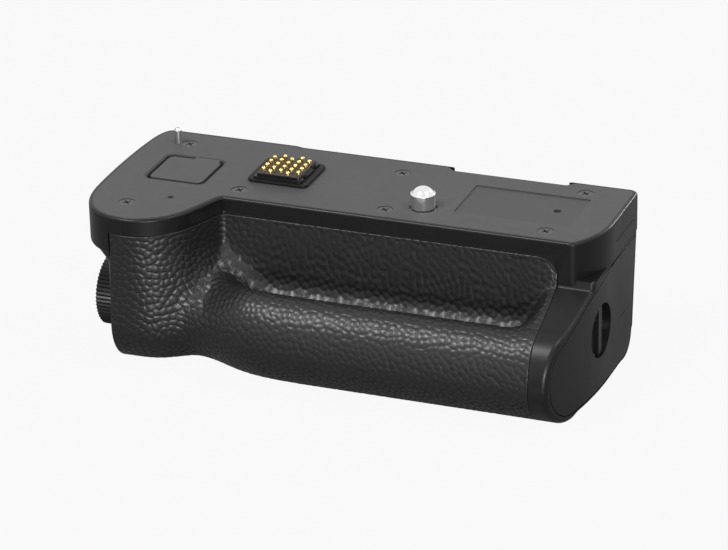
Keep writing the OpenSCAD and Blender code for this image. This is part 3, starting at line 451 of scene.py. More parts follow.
# Shader node groups
def new_group(name, inputs, outputs):
    """A node group with inputs by name and default, and named outputs, all of them plain values."""
    group = bpy.data.node_groups.new(name, "ShaderNodeTree")
    for label, value in inputs.items():
        socket = group.interface.new_socket(label, in_out="INPUT", socket_type="NodeSocketFloat")
        socket.default_value = value
    for label in outputs:
        group.interface.new_socket(label, in_out="OUTPUT", socket_type="NodeSocketFloat")
    return group, group.nodes.new("NodeGroupInput"), group.nodes.new("NodeGroupOutput")


def add_node(tree, kind, links=None, **settings):
    """A shader node with settings and its input links, by socket name or place."""
    node = tree.nodes.new(kind)
    for name, value in settings.items():
        setattr(node, name, value)
    for socket, source in (links or {}).items():
        if isinstance(source, bpy.types.NodeSocket):
            tree.links.new(source, node.inputs[socket])
        else:
            node.inputs[socket].default_value = source
    return node


def math_node(tree, operation, *values):
    return add_node(tree, "ShaderNodeMath", dict(enumerate(values)), operation=operation).outputs[0]


def colour_ramp(tree, source, stops):
    node = add_node(tree, "ShaderNodeValToRGB", {"Fac": source})
    elements = node.color_ramp.elements
    while len(elements) < len(stops):
        elements.new(0.5)
    for element, (position, value) in zip(elements, stops):
        element.position = position
        element.color = (value, value, value, 1)
    return node.outputs["Color"]


def spark_grain():
    """Fine spark-eroded grain of moulded plastic: a height and a slow cloud of shade."""
    name = "Moulded grain"
    if name in bpy.data.node_groups:
        return bpy.data.node_groups[name]
    group, given, put = new_group(name, {"Grain size": 0.3, "Cloud size": 18.0}, ["Height", "Cloud"])
    place = add_node(group, "ShaderNodeTexCoord").outputs["Object"]
    for size, result, settings in (("Grain size", "Height", {"Detail": 2.0, "Roughness": 0.6}),
                                   ("Cloud size", "Cloud", {"Detail": 3.0})):
        scale = math_node(group, "DIVIDE", 1 / MM, given.outputs[size])
        noise = add_node(group, "ShaderNodeTexNoise", {"Vector": place, "Scale": scale, **settings})
        group.links.new(noise.outputs["Fac"], put.inputs[result])
    return group


def edge_wear():
    """Mask of painted highlights on sharp edges and pebble tops, from the curvature of the surface."""
    name = "Edge wear"
    if name in bpy.data.node_groups:
        return bpy.data.node_groups[name]
    group, given, put = new_group(name, {"Amount": 0.5}, ["Mask"])
    bend = add_node(group, "ShaderNodeNewGeometry").outputs["Pointiness"]
    edge = colour_ramp(group, bend, [(0.505, 0.0), (0.56, 1.0)])
    place = add_node(group, "ShaderNodeTexCoord").outputs["Object"]
    patch = add_node(group, "ShaderNodeTexNoise", {"Vector": place, "Scale": 260.0, "Detail": 4.0})
    mask = math_node(group, "MULTIPLY", math_node(group, "MULTIPLY", edge, patch.outputs["Fac"]),
                     given.outputs["Amount"])
    group.links.new(mask, put.inputs["Mask"])
    return group


def material_base(name, colour, roughness, metallic=0.0, specular=0.5):
    material = bpy.data.materials.new(name)
    material.use_nodes = True
    shader = material.node_tree.nodes["Principled BSDF"]
    shader.inputs["Base Color"].default_value = (*colour, 1)
    shader.inputs["Roughness"].default_value = roughness
    shader.inputs["Metallic"].default_value = metallic
    shader.inputs["Specular IOR Level"].default_value = specular
    return material, material.node_tree, shader


def use_group(tree, group, **values):
    named = {label.replace("_", " "): value for label, value in values.items()}
    return add_node(tree, "ShaderNodeGroup", named, node_tree=group).outputs


# Places of a colour mix's two colours among its inputs, and of its result among its outputs
MIX_A, MIX_B, MIX_RESULT = 6, 7, 2


def mix_colour(tree, factor, a, b):
    ends = {place: end if isinstance(end, bpy.types.NodeSocket) else (*end, 1)
            for place, end in ((MIX_A, a), (MIX_B, b))}
    return add_node(tree, "ShaderNodeMix", {0: factor, **ends}, data_type="RGBA").outputs[MIX_RESULT]


def bump(tree, shader, height, strength, distance):
    node = add_node(tree, "ShaderNodeBump", {"Height": height, "Strength": strength, "Distance": distance * MM})
    tree.links.new(node.outputs["Normal"], shader.inputs["Normal"])


# Changes of shade and roughness over a surface, and the painted shade and roughness of the leather's creases
PLASTIC_LIFT, PLASTIC_SPREAD = 1.2, 0.16
METAL_SHADE, METAL_SPREAD = 0.86, 0.1
CREASE_PAINTED_SHADE, CREASE_ROUGH = 0.15, 0.3


def painted_highlight_colour(colour, gain, lift):
    """Paler colour of a painted edge highlight."""
    return [min(1, c * gain + lift) for c in colour]


def clouded(tree, shader, cloud, roughness, spread):
    """Lets the roughness change slowly round its value."""
    value = math_node(tree, "MULTIPLY_ADD", cloud, spread, roughness - spread / 2)
    tree.links.new(value, shader.inputs["Roughness"])


def moulded_plastic(name, colour, roughness, grain=0.3, relief=0.012, wear=0.5, specular=0.24):
    """Moulded plastic with fine grain, slow changes of shade and painted highlights on its edges."""
    material, tree, shader = material_base(name, colour, roughness, 0.0, specular)
    fine = use_group(tree, spark_grain(), Grain_size=grain)
    highlight_mask = use_group(tree, edge_wear(), Amount=wear)["Mask"]
    shaded = mix_colour(tree, fine["Cloud"], [c / PLASTIC_LIFT for c in colour], [c * PLASTIC_LIFT for c in colour])
    # Painted highlight: sharp edges are mixed towards a paler colour
    highlighted = mix_colour(tree, highlight_mask, shaded, painted_highlight_colour(colour, 2.2, 0.01))
    tree.links.new(highlighted, shader.inputs["Base Color"])
    clouded(tree, shader, fine["Cloud"], roughness, PLASTIC_SPREAD)
    bump(tree, shader, fine["Height"], 0.6, relief)
    return material


def pebbled_leather(name, colour, roughness, specular=0.4):
    """Grip skin: the pebbles are modelled, so the material adds pores, painted shade in the creases and painted
    glints on the pebble tops and edges.
    """
    material, tree, shader = material_base(name, colour, roughness, 0.0, specular)
    place = add_node(tree, "ShaderNodeTexCoord").outputs["Object"]
    pores = add_node(tree, "ShaderNodeTexVoronoi", {"Vector": place, "Scale": 2600.0}, feature="F1")
    fine = use_group(tree, spark_grain(), Grain_size=0.25)
    crease = add_node(tree, "ShaderNodeAttribute", attribute_name="crease").outputs["Fac"]
    highlight_mask = use_group(tree, edge_wear(), Amount=0.35)["Mask"]
    # Painted shade: the creases between the pebbles are darkened
    painted_crease_shade = mix_colour(tree, crease, colour, [c * CREASE_PAINTED_SHADE for c in colour])
    # Painted glints: sharp edges and pebble tops are mixed towards a paler colour
    highlighted = mix_colour(tree, highlight_mask, painted_crease_shade, painted_highlight_colour(colour, 2.4, 0.004))
    tree.links.new(highlighted, shader.inputs["Base Color"])
    tree.links.new(math_node(tree, "MULTIPLY_ADD", crease, CREASE_ROUGH, roughness), shader.inputs["Roughness"])
    height = math_node(tree, "ADD", pores.outputs["Distance"], fine["Height"])
    bump(tree, shader, height, 0.35, 0.03)
    return material


def turned_metal(name, colour, roughness):
    """Machined or plated metal with fine scratches."""
    material, tree, shader = material_base(name, colour, roughness, 1.0)
    fine = use_group(tree, spark_grain(), Grain_size=0.12, Cloud_size=2.5)
    clouded(tree, shader, fine["Cloud"], roughness, METAL_SPREAD)
    shaded = mix_colour(tree, fine["Cloud"], [c * METAL_SHADE for c in colour], colour)
    tree.links.new(shaded, shader.inputs["Base Color"])
    bump(tree, shader, fine["Height"], 0.2, 0.004)
    return material


# Sizes and colours that a user would change
def size_property(name, description, default):
    return bpy.props.FloatProperty(name=name, description=description, default=default * MM, min=0.0,
                                   unit="LENGTH", precision=5)


def colour_property(name, description, default):
    return bpy.props.FloatVectorProperty(name=name, description=description, default=default, size=3,
                                         subtype="COLOR", min=0.0, max=1.0)


def power_property(name, description, default):
    return bpy.props.FloatProperty(name=name, description=description, default=default, min=0.0, unit="POWER")


class GripSizes(bpy.types.PropertyGroup):
    """Sizes of the fine forms."""
    top_round: size_property("Top edge", "Radius of the flange's top edge", 0.7)
    low_round: size_property("Lower edge", "Radius of the flange's lower edge", 0.8)
    skin_round: size_property("Skin edge", "Radius of the leather's edges", 0.3)
    skin_corner: size_property("Skin corner", "Radius of the leather's upper right corner", 5.0)
    seam: size_property("Seam", "Gap round the leather", 0.12)
    pebble: size_property("Pebble", "Least distance between the leather's pebbles", 1.4)
    relief: size_property("Relief", "Height of the leather's pebbles", 0.2)
    door_seam: size_property("Door seam", "Gap round the tray door", 0.25)
    door_round: size_property("Door edge", "Radius of the tray door's edge", 0.3)


class GripColours(bpy.types.PropertyGroup):
    """Colours of the finishes."""
    case: colour_property("Case", "Black plastic of the housing", (0.006, 0.006, 0.0062))
    plate: colour_property("Plate", "Dark grey of the top plate", (0.06, 0.06, 0.061))
    skin: colour_property("Skin", "Black leather of the grip", (0.011, 0.011, 0.0113))
    rubber: colour_property("Rubber", "Black rubber seal", (0.004, 0.004, 0.004))
    gold: colour_property("Gold", "Plating of the contacts", (0.86, 0.62, 0.22))
    chrome: colour_property("Chrome", "Plating of the camera screw", (0.86, 0.86, 0.87))
    steel: colour_property("Steel", "Turned steel", (0.52, 0.52, 0.53))
    screw: colour_property("Screws", "Blackened screws", (0.13, 0.13, 0.132))
    brass: colour_property("Brass", "Cut gear", (0.66, 0.5, 0.24))
    board: colour_property("Board", "Solder mask of the circuit board", (0.015, 0.09, 0.03))
    cell: colour_property("Cell", "Plain wrap of the cells", (0.32, 0.33, 0.35))


class StageSettings(bpy.types.PropertyGroup):
    """Light, floor and camera."""
    key_power: power_property("Key light", "Power of the large soft light", 5.4)
    edge_power: power_property("Edge light", "Power of the light over the right end", 2.4)
    back_power: power_property("Back light", "Power of the light behind the right end", 1.9)
    low_power: power_property("Low light", "Power of the light low in front", 3.2)
    floor: colour_property("Floor", "Grey of the floor under its white", (0.18, 0.18, 0.18))
    focal_length: bpy.props.FloatProperty(name="Focal length", description="Focal length in millimetres",
                                          default=177.6, min=1.0)


def finishes(context):
    """The materials of the grip, by the slot they finish, made on first use."""
    c = context.scene.grip_colours

    def look(kind, name, *values, **settings):
        return bpy.data.materials.get(name) or kind(name, *values, **settings)

    return {
        # The edge amount given to a plastic sets the strength of its painted edge highlight
        "case": look(moulded_plastic, "Black moulded plastic", c.case, 0.34),
        "plate": look(moulded_plastic, "Grey top plate", c.plate, 0.55, grain=0.25, wear=0.2, specular=0.3),
        "skin": look(pebbled_leather, "Pebbled grip leather", c.skin, 0.33),
        "knob": look(moulded_plastic, "Ribbed black plastic", c.case, 0.36, wear=0.8),
        "seal": look(moulded_plastic, "Black rubber", c.rubber, 0.6, relief=0.01, wear=0.1),
        "chrome": look(turned_metal, "Polished chrome", c.chrome, 0.16),
        "steel": look(turned_metal, "Turned steel", c.steel, 0.32),
        "black_screw": look(turned_metal, "Blackened screw", c.screw, 0.45),
        "gold": look(turned_metal, "Gold plating", c.gold, 0.2),
        "gear": look(turned_metal, "Cut brass", c.brass, 0.3),
        "board": look(moulded_plastic, "Solder mask", c.board, 0.35, relief=0.005, wear=0.1),
        "cell": look(turned_metal, "Plain cell wrap", c.cell, 0.35),
    }


# The moulded housing: bevel at the head of a section, lap into the flange and lines across the right end
HEAD_Z, HEAD_Y = 0.2, 0.4
FLANGE_LAP = 1.2
END_COLUMNS = 24


def full_ring(where, top_z, set_back):
    """A closed section of the housing through one station."""
    chain = front_chain(where, top_z - HEAD_Z)
    head = [[chain[0][0] + HEAD_Y, top_z]]
    return at_x(np.vstack([head, chain, foot(where[2]), back_chain(top_z, set_back, BACK_COUNT)]), where[0])


def corner_set(x):
    """Rounding of the lower left back corner."""
    left = BASE_CORNER_R - min(x - END_WALL_X, BASE_CORNER_R)
    return BASE_CORNER_R - math.sqrt(BASE_CORNER_R ** 2 - left ** 2)


def end_ring(distance, back):
    """A ring of the right end, set in and set back for its round edge."""
    cheek = (SKIN_X1, CHEEK_Y, -BULGE_Y, 1.0, 1.0)
    chain = full_ring(cheek, LEDGE_Z, 0)[:, 1:]
    moved = shift_chain(chain, distance)
    moved[0] = chain[0] + [distance, 0]
    moved[-1] = chain[-1] - [distance, 0]
    moved[:, 1] = np.minimum(moved[:, 1], LEDGE_Z)
    return np.column_stack([end_x(moved[:, 0]) - back, moved])


def grip_loft():
    """The lofted grip from the left end wall to the convex right end."""
    low = [(x, y, y, 0.0, 0.0) for x, y in bezier(LOW_CORNER, 16)]
    rings = [full_ring(where, LEDGE_Z, corner_set(where[0])) for where in low]
    rings += [full_ring(station(x, y), BAND_Z + FLANGE_LAP, 0) for x, y in skin_plan()[:-1]]
    rings += [full_ring((SKIN_X1 - 0.05, CHEEK_Y, -BULGE_Y, 1.0, 1.0), LEDGE_Z, 0)]
    turn = np.radians(np.linspace(0, 90, 7))
    rings += [end_ring(END_ROUND * (1 - math.cos(a)), END_ROUND * (1 - math.sin(a))) for a in turn]
    count = len(rings[0])
    half = count // 2
    last = len(rings) - 1
    points = np.vstack(rings)
    grid, index = [], {}
    for j in range(half):
        for m in range(END_COLUMNS + 1):
            edge = j in (0, half - 1)
            m_here = (END_COLUMNS if m > END_COLUMNS / 2 else 0) if edge else m
            if m_here == 0:
                index[j, m] = last * count + j
            elif m_here == END_COLUMNS:
                index[j, m] = last * count + count - 1 - j
            else:
                p = lerp(rings[last][j], rings[last][count - 1 - j], m / END_COLUMNS)
                index[j, m] = len(points) + len(grid)
                grid.append((float(end_x(p[1])), p[1], p[2]))
    faces = ring_faces(len(rings), count)
    for j in range(half - 1):
        faces.append((j, j + 1, count - 2 - j, count - 1 - j))
        for m in range(END_COLUMNS):
            face = [index[j, m], index[j + 1, m], index[j + 1, m + 1], index[j, m + 1]]
            face = list(dict.fromkeys(face))
            if len(face) > 2:
                faces.append(tuple(face))
    return add_mesh("grip_loft", np.vstack([points, grid]), faces)


def round_slab(name, outline, low, high, low_round, high_round, steps=6):
    """An upright slab with rounded lower and upper edges."""
    turn = [(1 - math.sin(a), 1 - math.cos(a)) for a in np.radians(np.linspace(0, 90, steps + 1))]
    rings = [at_z(inset(outline, low_round * a), low + low_round * b) for a, b in turn]
    rings += [at_z(inset(outline, high_round * b), high - high_round * a) for a, b in turn]
    return loft(name, rings)


def flange_low(outline):
    """Height of the flange's lower edge, deeper at the front right and running out to the back."""
    x, y = outline.T
    share = np.clip((CORNER_RUN - y) / (2 * CORNER_RUN), 0, 1) * (x > SKIN_X1)
    return -lerp(FLANGE_H, CORNER_H, share)


def left_slope():
    """The slope under the left flange, down to the lower end wall."""
    upper = np.vstack([[(SKIN_X0 - 1, 20)], bezier(np.array(LEFT_SIDE) + [SLOPE_SET, 0], 20),
                       bezier(np.array(NOSE_LEFT) + SLOPE_SET, 28, 1, 9), [(SKIN_X0 - 1, 2 - NOSE_Y)]])
    lower = np.vstack([[(SKIN_X0 - 1, 19), (END_WALL_X, 18)], bezier(LOW_CORNER, 16)])
    levels = [(upper, SLOPE_LAP - FLANGE_H), (upper, -FLANGE_H), (lower, -FLANGE_H - SLOPE_H),
              (lower, -FLANGE_H - SLOPE_H - SLOPE_LAP)]
    form = bmesh.new()
    for outline, z in levels:
        for x, y in outline:
            form.verts.new((x * MM, y * MM, z * MM))
    hull = bmesh.ops.convex_hull(form, input=form.verts)
    spare = {v for v in hull["geom_interior"] + hull["geom_unused"] if isinstance(v, bmesh.types.BMVert)}
    bmesh.ops.delete(form, geom=list(spare), context="VERTS")
    mesh = bpy.data.meshes.new("left_slope")
    form.to_mesh(mesh)
    form.free()
    return add_object("left_slope", mesh)


def skin_top(x, corner):
    """Height of the leather's top edge, lower round its upper right corner."""
    d = np.clip(x - (SKIN_X1 - corner), 0, corner)
    return BAND_Z - (corner - np.sqrt(np.clip(corner ** 2 - d ** 2, 0, None)))


def sheet(name, faces, unders):
    """A closed sheet between two grids of points."""
    rings = [np.vstack([face, under[::-1]]) for face, under in zip(faces, unders)]
    count = len(rings[0])
    half = count // 2
    last = (len(rings) - 1) * count
    caps = []
    for j in range(half - 1):
        caps.append((j, j + 1, count - 2 - j, count - 1 - j))
        caps.append((last + j, last + count - 1 - j, last + count - 2 - j, last + j + 1))
    return loft(name, rings, caps)


def scatter(points, spacing, seed):
    """A tree of points picked in random order, at least a spacing apart."""
    cells = {}
    keys = np.floor(points / spacing).astype(int).tolist()
    around = [(a, b, c) for a in (-1, 0, 1) for b in (-1, 0, 1) for c in (-1, 0, 1)]
    chosen = []
    for i in np.random.default_rng(seed).permutation(len(points)):
        x, y, z = points[i]
        kx, ky, kz = keys[i]
        near = (q for a, b, c in around for q in cells.get((kx + a, ky + b, kz + c), ()))
        if all((q[0] - x) ** 2 + (q[1] - y) ** 2 + (q[2] - z) ** 2 >= spacing ** 2 for q in near):
            cells.setdefault((kx, ky, kz), []).append((x, y, z))
            chosen.append((x, y, z))
    tree = KDTree(len(chosen))
    for i, point in enumerate(chosen):
        tree.insert(point, i)
    tree.balance()
    return tree


# Pebbles in millimetres: width of a crease, reach of the fall and fade to the edge, and the crease's share
CREASE_W, PEBBLE_REACH, EDGE_FADE = 0.6, 1.2, 0.7
CREASE_SHARE = 0.75
# Lines of the leather: density along the grip, counts down it and under it, and seeds of its pebbles
LEATHER_DENSITY, LEATHER_DOWN, LEATHER_UNDER = 1.4, 150, 48
GRIP_SEED, THUMB_SEED = 11, 12
# Lines close to an edge that carry its rounding
EDGE_LINES = np.array([0.02, 0.07, 0.15, 0.25])
BACK_GAP = 0.05
# Bend in degrees up to which the leather is shaded smooth
LEATHER_ANGLE = 60


def pebbles(tree, points):
    """Creases between the pebbles from 0 to 1, and the fall of each pebble from its middle."""
    reach = np.array([[found[2] for found in tree.find_n(point, 2)] for point in points])
    crease = np.clip(1 - (reach[:, 1] - reach[:, 0]) / CREASE_W, 0, 1) ** 2
    return crease, np.clip(reach[:, 0], 0, PEBBLE_REACH) ** 2


def edge_drop(distance, radius):
    d = radius - np.clip(distance, 0, radius)
    return radius - np.sqrt(radius ** 2 - d ** 2)


def pebble_drop(tree, points, edge, sizes):
    """How far each point of the leather lies under its highest face."""
    crease, fall = (layer.reshape(edge.shape) for layer in pebbles(tree, points))
    relief = sizes.relief / MM * np.clip(edge / EDGE_FADE, 0, 1)
    bumps = relief * (CREASE_SHARE * crease + (1 - CREASE_SHARE) * fall)
    return np.maximum(bumps, edge_drop(edge, sizes.skin_round / MM))


def keep_crease(piece, tree):
    """Stores the creases on the mesh, where the finish reads them to paint shade into them and make them rougher."""
    points = np.empty(3 * len(piece.data.vertices))
    piece.data.vertices.foreach_get("co", points)
    crease, _ = pebbles(tree, points.reshape(-1, 3) / MM)
    layer = piece.data.attributes.new("crease", "FLOAT", "POINT")
    layer.data.foreach_set("value", crease)


def along(points, axis):
    """Distance from the first edge of a grid, measured along its lines."""
    steps = np.linalg.norm(np.diff(points, axis=axis), axis=2)
    shape = list(points.shape[:2])
    shape[axis] = 1
    return np.concatenate([np.zeros(shape), np.cumsum(steps, axis=axis)], axis=axis)


def front_leather(sizes):
    """The pebbled leather of the hand grip, its edges rounded over."""
    corner = sizes.skin_corner / MM
    plan = skin_plan(LEATHER_DENSITY)
    xs = np.unique(np.concatenate([plan[:, 0], SKIN_X0 + EDGE_LINES, SKIN_X1 - EDGE_LINES]))
    ys = np.interp(xs, plan[:, 0], plan[:, 1])
    steps = np.unique(np.concatenate([np.linspace(0, LAST_STEP, LEATHER_DOWN), EDGE_LINES]))
    under = np.sort(np.concatenate([np.linspace(180, UNDER_ANGLE, LEATHER_UNDER)[1:], UNDER_ANGLE - 5 * EDGE_LINES]))
    chains = [front_chain(station(x, y), float(skin_top(x, corner)), steps, under) for x, y in zip(xs, ys)]
    face = np.array([at_x(chain, x) for chain, x in zip(chains, xs)])
    back = np.array([at_x(shift_chain(chain, SKIN_T - BACK_GAP), x) for chain, x in zip(chains, xs)])
    normals = np.cross(np.gradient(face, axis=1), np.gradient(face, axis=0))
    normals /= np.linalg.norm(normals, axis=2)[:, :, None]
    down, across = along(face, 1), along(face, 0)
    edge = np.minimum.reduce([down, down[:, -1:] - down, across, across[-1:] - across])
    points = face.reshape(-1, 3)
    tree = scatter(points[::3], sizes.pebble / MM, GRIP_SEED)
    drop = pebble_drop(tree, points, edge, sizes)
    skin = sheet("front_skin", face - normals * drop[:, :, None], back)
    keep_crease(skin, tree)
    return skin


def thumb_leather(sizes):
    """The pebbled thumb rest on the back wall."""
    half = np.array(PAD_SIZE) / 2
    xs, ys = (np.linspace(-h - PAD_OVER, h + PAD_OVER, round(PAD_LINES * h)) for h in half)
    x, y = np.meshgrid(xs, ys, indexing="ij")
    flat = np.dstack([x, y, np.zeros_like(x)])
    beyond = np.abs(flat[:, :, :2]) - (half - PAD_R)
    edge = PAD_R - np.linalg.norm(np.clip(beyond, 0, None), axis=2) - np.minimum(beyond.max(axis=2), 0)
    tree = scatter(flat.reshape(-1, 3), sizes.pebble / MM, THUMB_SEED)
    drop = pebble_drop(tree, flat.reshape(-1, 3), edge, sizes)
    up = np.array([0, 0, 1])
    rest = sheet("thumb_skin", flat + up * (PAD_PROUD - drop)[:, :, None], flat + up * (PAD_PROUD - PAD_T))
    carve(rest, [prism_z("pad", rounded_rectangle(*PAD_SIZE, PAD_R, 12), -PAD_T - 1, PAD_PROUD + 1)], "INTERSECT")
    keep_crease(rest, tree)
    return on_back(rest, PAD_AT)


SEAT_OPEN = 2.0


def skin_seat(corner, grow):
    """Cutter of the leather's seat, open to the front and grown at its edges."""
    plan = skin_plan()
    plan[0, 0] -= grow
    plan[-1, 0] += grow
    faces, unders = [], []
    for x, y in plan:
        chain = front_chain(station(x, y), float(skin_top(x, corner)))
        face = shift_chain(chain, -SEAT_OPEN)
        under = shift_chain(chain, SKIN_T)
        for edge in (face, under):
            edge[0, 1] += grow
            edge[-1, 0] += grow
        faces.append(at_x(face, x))
        unders.append(at_x(under, x))
    return sheet("skin_seat", faces, unders)


class GRIP_OT_housing(bpy.types.Operator):
    """Builds the moulded housing with its flange, lofted grip, seats and wells"""
    bl_idname = "grip.housing"
    bl_label = "Moulded housing"

    def execute(self, context):
        sizes = context.scene.grip_sizes
        look = finishes(context)
        outline = top_outline()
        housing = round_slab("housing_shell", outline, flange_low(outline), 0, sizes.low_round / MM,
                             sizes.top_round / MM)
        carve(housing, [grip_loft(), left_slope()], "UNION")
        cutters = [skin_seat(sizes.skin_corner / MM, sizes.seam / MM)]
        cutters += plate_cutters() + bay_cutters() + control_cutters() + back_cutters()
        carve(housing, cutters + [line_cutter("end_line", *END_LINE)])
        shade(housing)
        dress(housing, ["main_case"], look["case"])
        return {"FINISHED"}


# Sizes of the seats in the housing, in millimetres
PLATE_Z = -2.0
WHEEL_Z = node_box("thumb_wheel")[0][2]
WHEEL_MID = node_middle("thumb_wheel")
NOTCH_HALF, NOTCH_D, NOTCH_SLOPE, NOTCH_LOW = 16.5, 1.75, 2.0, 1.0
SEAT_GAP, RUN_GAP, TURN_GAP = 0.05, 0.3, 0.4
POCKET_R = 2.0
BOARD_ROOM = 2.4
OVER = 2.0


def plate_cutters():
    """Seat of the top plate, the notch at the wheel and the wells under the plate."""
    notch_y = BACK_Y - NOTCH_D
    rise = NOTCH_D + OVER
    slope = NOTCH_SLOPE * rise / NOTCH_D
    x, half = WHEEL_MID[0], NOTCH_HALF - NOTCH_SLOPE
    notch = np.array([(x - half, notch_y), (x + half, notch_y), (x + half + slope, notch_y + rise),
                      (x - half - slope, notch_y + rise)])
    width = 2 * (node_radius("cap_pocket", 0) + SEAT_GAP)
    pocket = rounded_rectangle(width, width, POCKET_R) + node_middle("cap_pocket")[:2]
    board_low, board_high = node_box("circuit_board")
    board = rectangle(*board_low[:2], *board_high[:2])
    wheel = circle(node_radius("thumb_wheel", 0) + TURN_GAP, WHEEL_MID[:2], 96)
    gear = circle(node_box("screw_gear")[1][0] + TURN_GAP)
    return [
        prism_z("plate_seat", inset(top_outline(), RIM_W), PLATE_Z, OVER),
        prism_z("wheel_notch", notch, WHEEL_Z - NOTCH_LOW, OVER),
        prism_z("pocket_well", pocket, node_box("cap_pocket")[0][2] - SEAT_GAP, OVER),
        prism_z("board_well", inset(board, -RUN_GAP), board_low[2] - BOARD_ROOM, OVER),
        prism_z("wheel_well", wheel, WHEEL_Z - RUN_GAP, OVER),
        prism_z("gear_well", gear, WHEEL_Z - RUN_GAP, OVER),
    ]


DOOR_INSET, DOOR_BACK_INSET = 2.0, 1.6
DOOR_BEND_Y = 3.0
DOOR_SLOPE_Y, DOOR_SLOPE_Z = 2.2, 2.9
DOOR_TOP_Z = -FLANGE_H - 0.6
DOOR_X = node_box("tray_door")[0][0]
DOOR_IN_X = RIGHT_REACH - 4.6
DOOR_REACH = 18.0
TRAY_LOW, TRAY_HIGH = node_box("tray_frame")

# The bay's section: half its floor, heights of its back and front walls from the roof, and its cut upper corner
BAY_HALF, BAY_BACK_H, BAY_FRONT_H = 8.85, 10.65, 14.9
BAY_CUT_Y, BAY_CUT_Z = 5.4, 3.9
BAY_END = 2.3


def door_outline():
    """The tray door seen from the right, in Y and Z."""
    tip = (TIP_R - BULGE_Y, TIP_Z)
    crest = np.array([CREST_BACK - BULGE_Y, TIP_Z])
    turn = np.radians(np.linspace(96, 166, 19))
    crown = crest + np.column_stack([(CREST_BACK - DOOR_INSET) * np.cos(turn),
                                     (CREST_RISE - DOOR_INSET) * np.sin(turn)])
    return np.vstack([
        arc(tip, TIP_R - DOOR_INSET, 180, 270, 24),
        arc((back_wall(BASE_Z) - BACK_R, BASE_Z + BACK_R), BACK_R - DOOR_BACK_INSET, 270, 354, 16),
        [(back_wall(DOOR_TOP_Z) - DOOR_BACK_INSET, DOOR_TOP_Z), (DOOR_BEND_Y, DOOR_TOP_Z),
         (-FRONT_Y - DOOR_SLOPE_Y, DOOR_TOP_Z - DOOR_SLOPE_Z)], crown])


def end_plan(left):
    """Plan of the convex end from a given left edge."""
    front, back = -BULGE_Y - OVER, BACK_Y + 2 * OVER
    y = np.linspace(front, END_FLAT_Y, 40)
    return np.vstack([np.column_stack([end_x(y), y]), [(RIGHT_REACH, back), (left, back), (left, front)]])


def bay_cutters():
    """The tray's bay and the door's seat."""
    y0, z0 = TRAY_LOW[1:] - RUN_GAP
    y1, z1 = TRAY_HIGH[1:] + RUN_GAP
    middle = (y0 + y1) / 2
    bay = np.array([(middle - BAY_HALF, z0), (middle + BAY_HALF, z0), (y1, z1 - BAY_BACK_H), (y1, z1),
                    (y0 + BAY_CUT_Y, z1), (y0, z1 - BAY_CUT_Z), (y0, z1 - BAY_FRONT_H)])
    seam = bpy.context.scene.grip_sizes.door_seam / MM
    seat = inset(door_outline(), -seam)
    tip = seat[seat[:, 0] < seam - FRONT_Y]
    return [prism_x("tray_bay", bay, TRAY_LOW[0] - BAY_END, RIGHT_REACH + OVER),
            prism_x("door_seat", seat, DOOR_IN_X - RUN_GAP, RIGHT_REACH + OVER),
            prism_x("door_tip_seat", tip, DOOR_X - RUN_GAP, RIGHT_REACH + OVER)]


SHUTTER_ROOM, SHUTTER_GAP, COLLAR_W = 1.4, 0.2, 1.0


def control_cutters():
    """Bores and pockets for the shutter button, the rear dial and the tripod socket."""
    shutter = node_middle("shutter_collar")[1:]
    shutter_r = node_radius("shutter_button", 2)
    shutter_end = node_box("shutter_button")[1][0] + SHUTTER_ROOM
    dial_low, dial_high = node_box("rear_dial")
    dial = circle(node_radius("rear_dial", 2) + TURN_GAP, node_middle("rear_dial")[1:])
    socket = circle(node_radius("tripod_socket", 0) + SEAT_GAP, node_middle("tripod_socket")[:2])
    return [
        prism_x("shutter_bore", circle(shutter_r + COLLAR_W, shutter), END_WALL_X - OVER,
                node_box("shutter_collar")[1][0]),
        prism_x("shutter_room", circle(shutter_r + SHUTTER_GAP, shutter), END_WALL_X, shutter_end),
        prism_x("dial_pocket", dial, dial_low[0] - RUN_GAP, dial_high[0] + RUN_GAP),
        prism_z("socket_bore", socket, BASE_Z - OVER, node_box("tripod_socket")[1][2]),
    ]


# Pieces on the drafted back wall: place, size, corner and depth in millimetres
PAD_AT, PAD_SIZE, PAD_R = (CORNER_X + 10, BASE_Z + 18), (34, 20), 5.0
PAD_T, PAD_PROUD, PAD_GAP = 1.1, 0.3, 0.1
PAD_OVER, PAD_LINES = 0.2, 5
AF_AT, AF_DEPTH, AF_GAP = (END_WALL_X + 5, -FLANGE_H - 4.1), 2.9, 0.15

# Slant of the flange's back face: how far its foot lies in the wall, and how far its cutter stands out
SLANT_IN, SLANT_OUT = 0.3, 5.0

# Fine lines in the right end: width and depth, then both ends in Y and the height
LINE_W, LINE_DEEP = 0.2, 0.15
END_LINE, INDEX_LINE = (7.0, 21.2, -5.65), (10.8, 15.4, -28.0)


def on_back(piece, at):
    """Lays a piece on the back wall, its own Z pointing outwards."""
    x, z = at
    place = Matrix.Translation(Vector((x, back_wall(z), z)) * MM)
    piece.data.transform(place @ Matrix.Rotation(-math.pi / 2 - math.atan(DRAFT), 4, "X"))
    return piece


def back_cutters():
    """The flange's slanted back face, the thumb rest's seat and the focus button's bore."""
    low = -FLANGE_H - SEAT_GAP
    foot_y = back_wall(-FLANGE_H) - SLANT_IN
    high_y = BACK_Y + BACK_LIP
    out_y = high_y + SLANT_OUT
    slant = np.array([(high_y, 0), (foot_y, low), (out_y, low), (out_y, OVER), (high_y, OVER)])
    pad = rounded_rectangle(PAD_SIZE[0] + 2 * PAD_GAP, PAD_SIZE[1] + 2 * PAD_GAP, PAD_R)
    return [
        prism_x("back_slant", slant, -LEFT_REACH - OVER, RIGHT_REACH + OVER),
        on_back(prism_z("pad_seat", pad, PAD_PROUD - PAD_T, OVER), PAD_AT),
        on_back(prism_z("af_bore", circle(node_radius("af_button", 0) + AF_GAP), -AF_DEPTH, OVER), AF_AT),
    ]


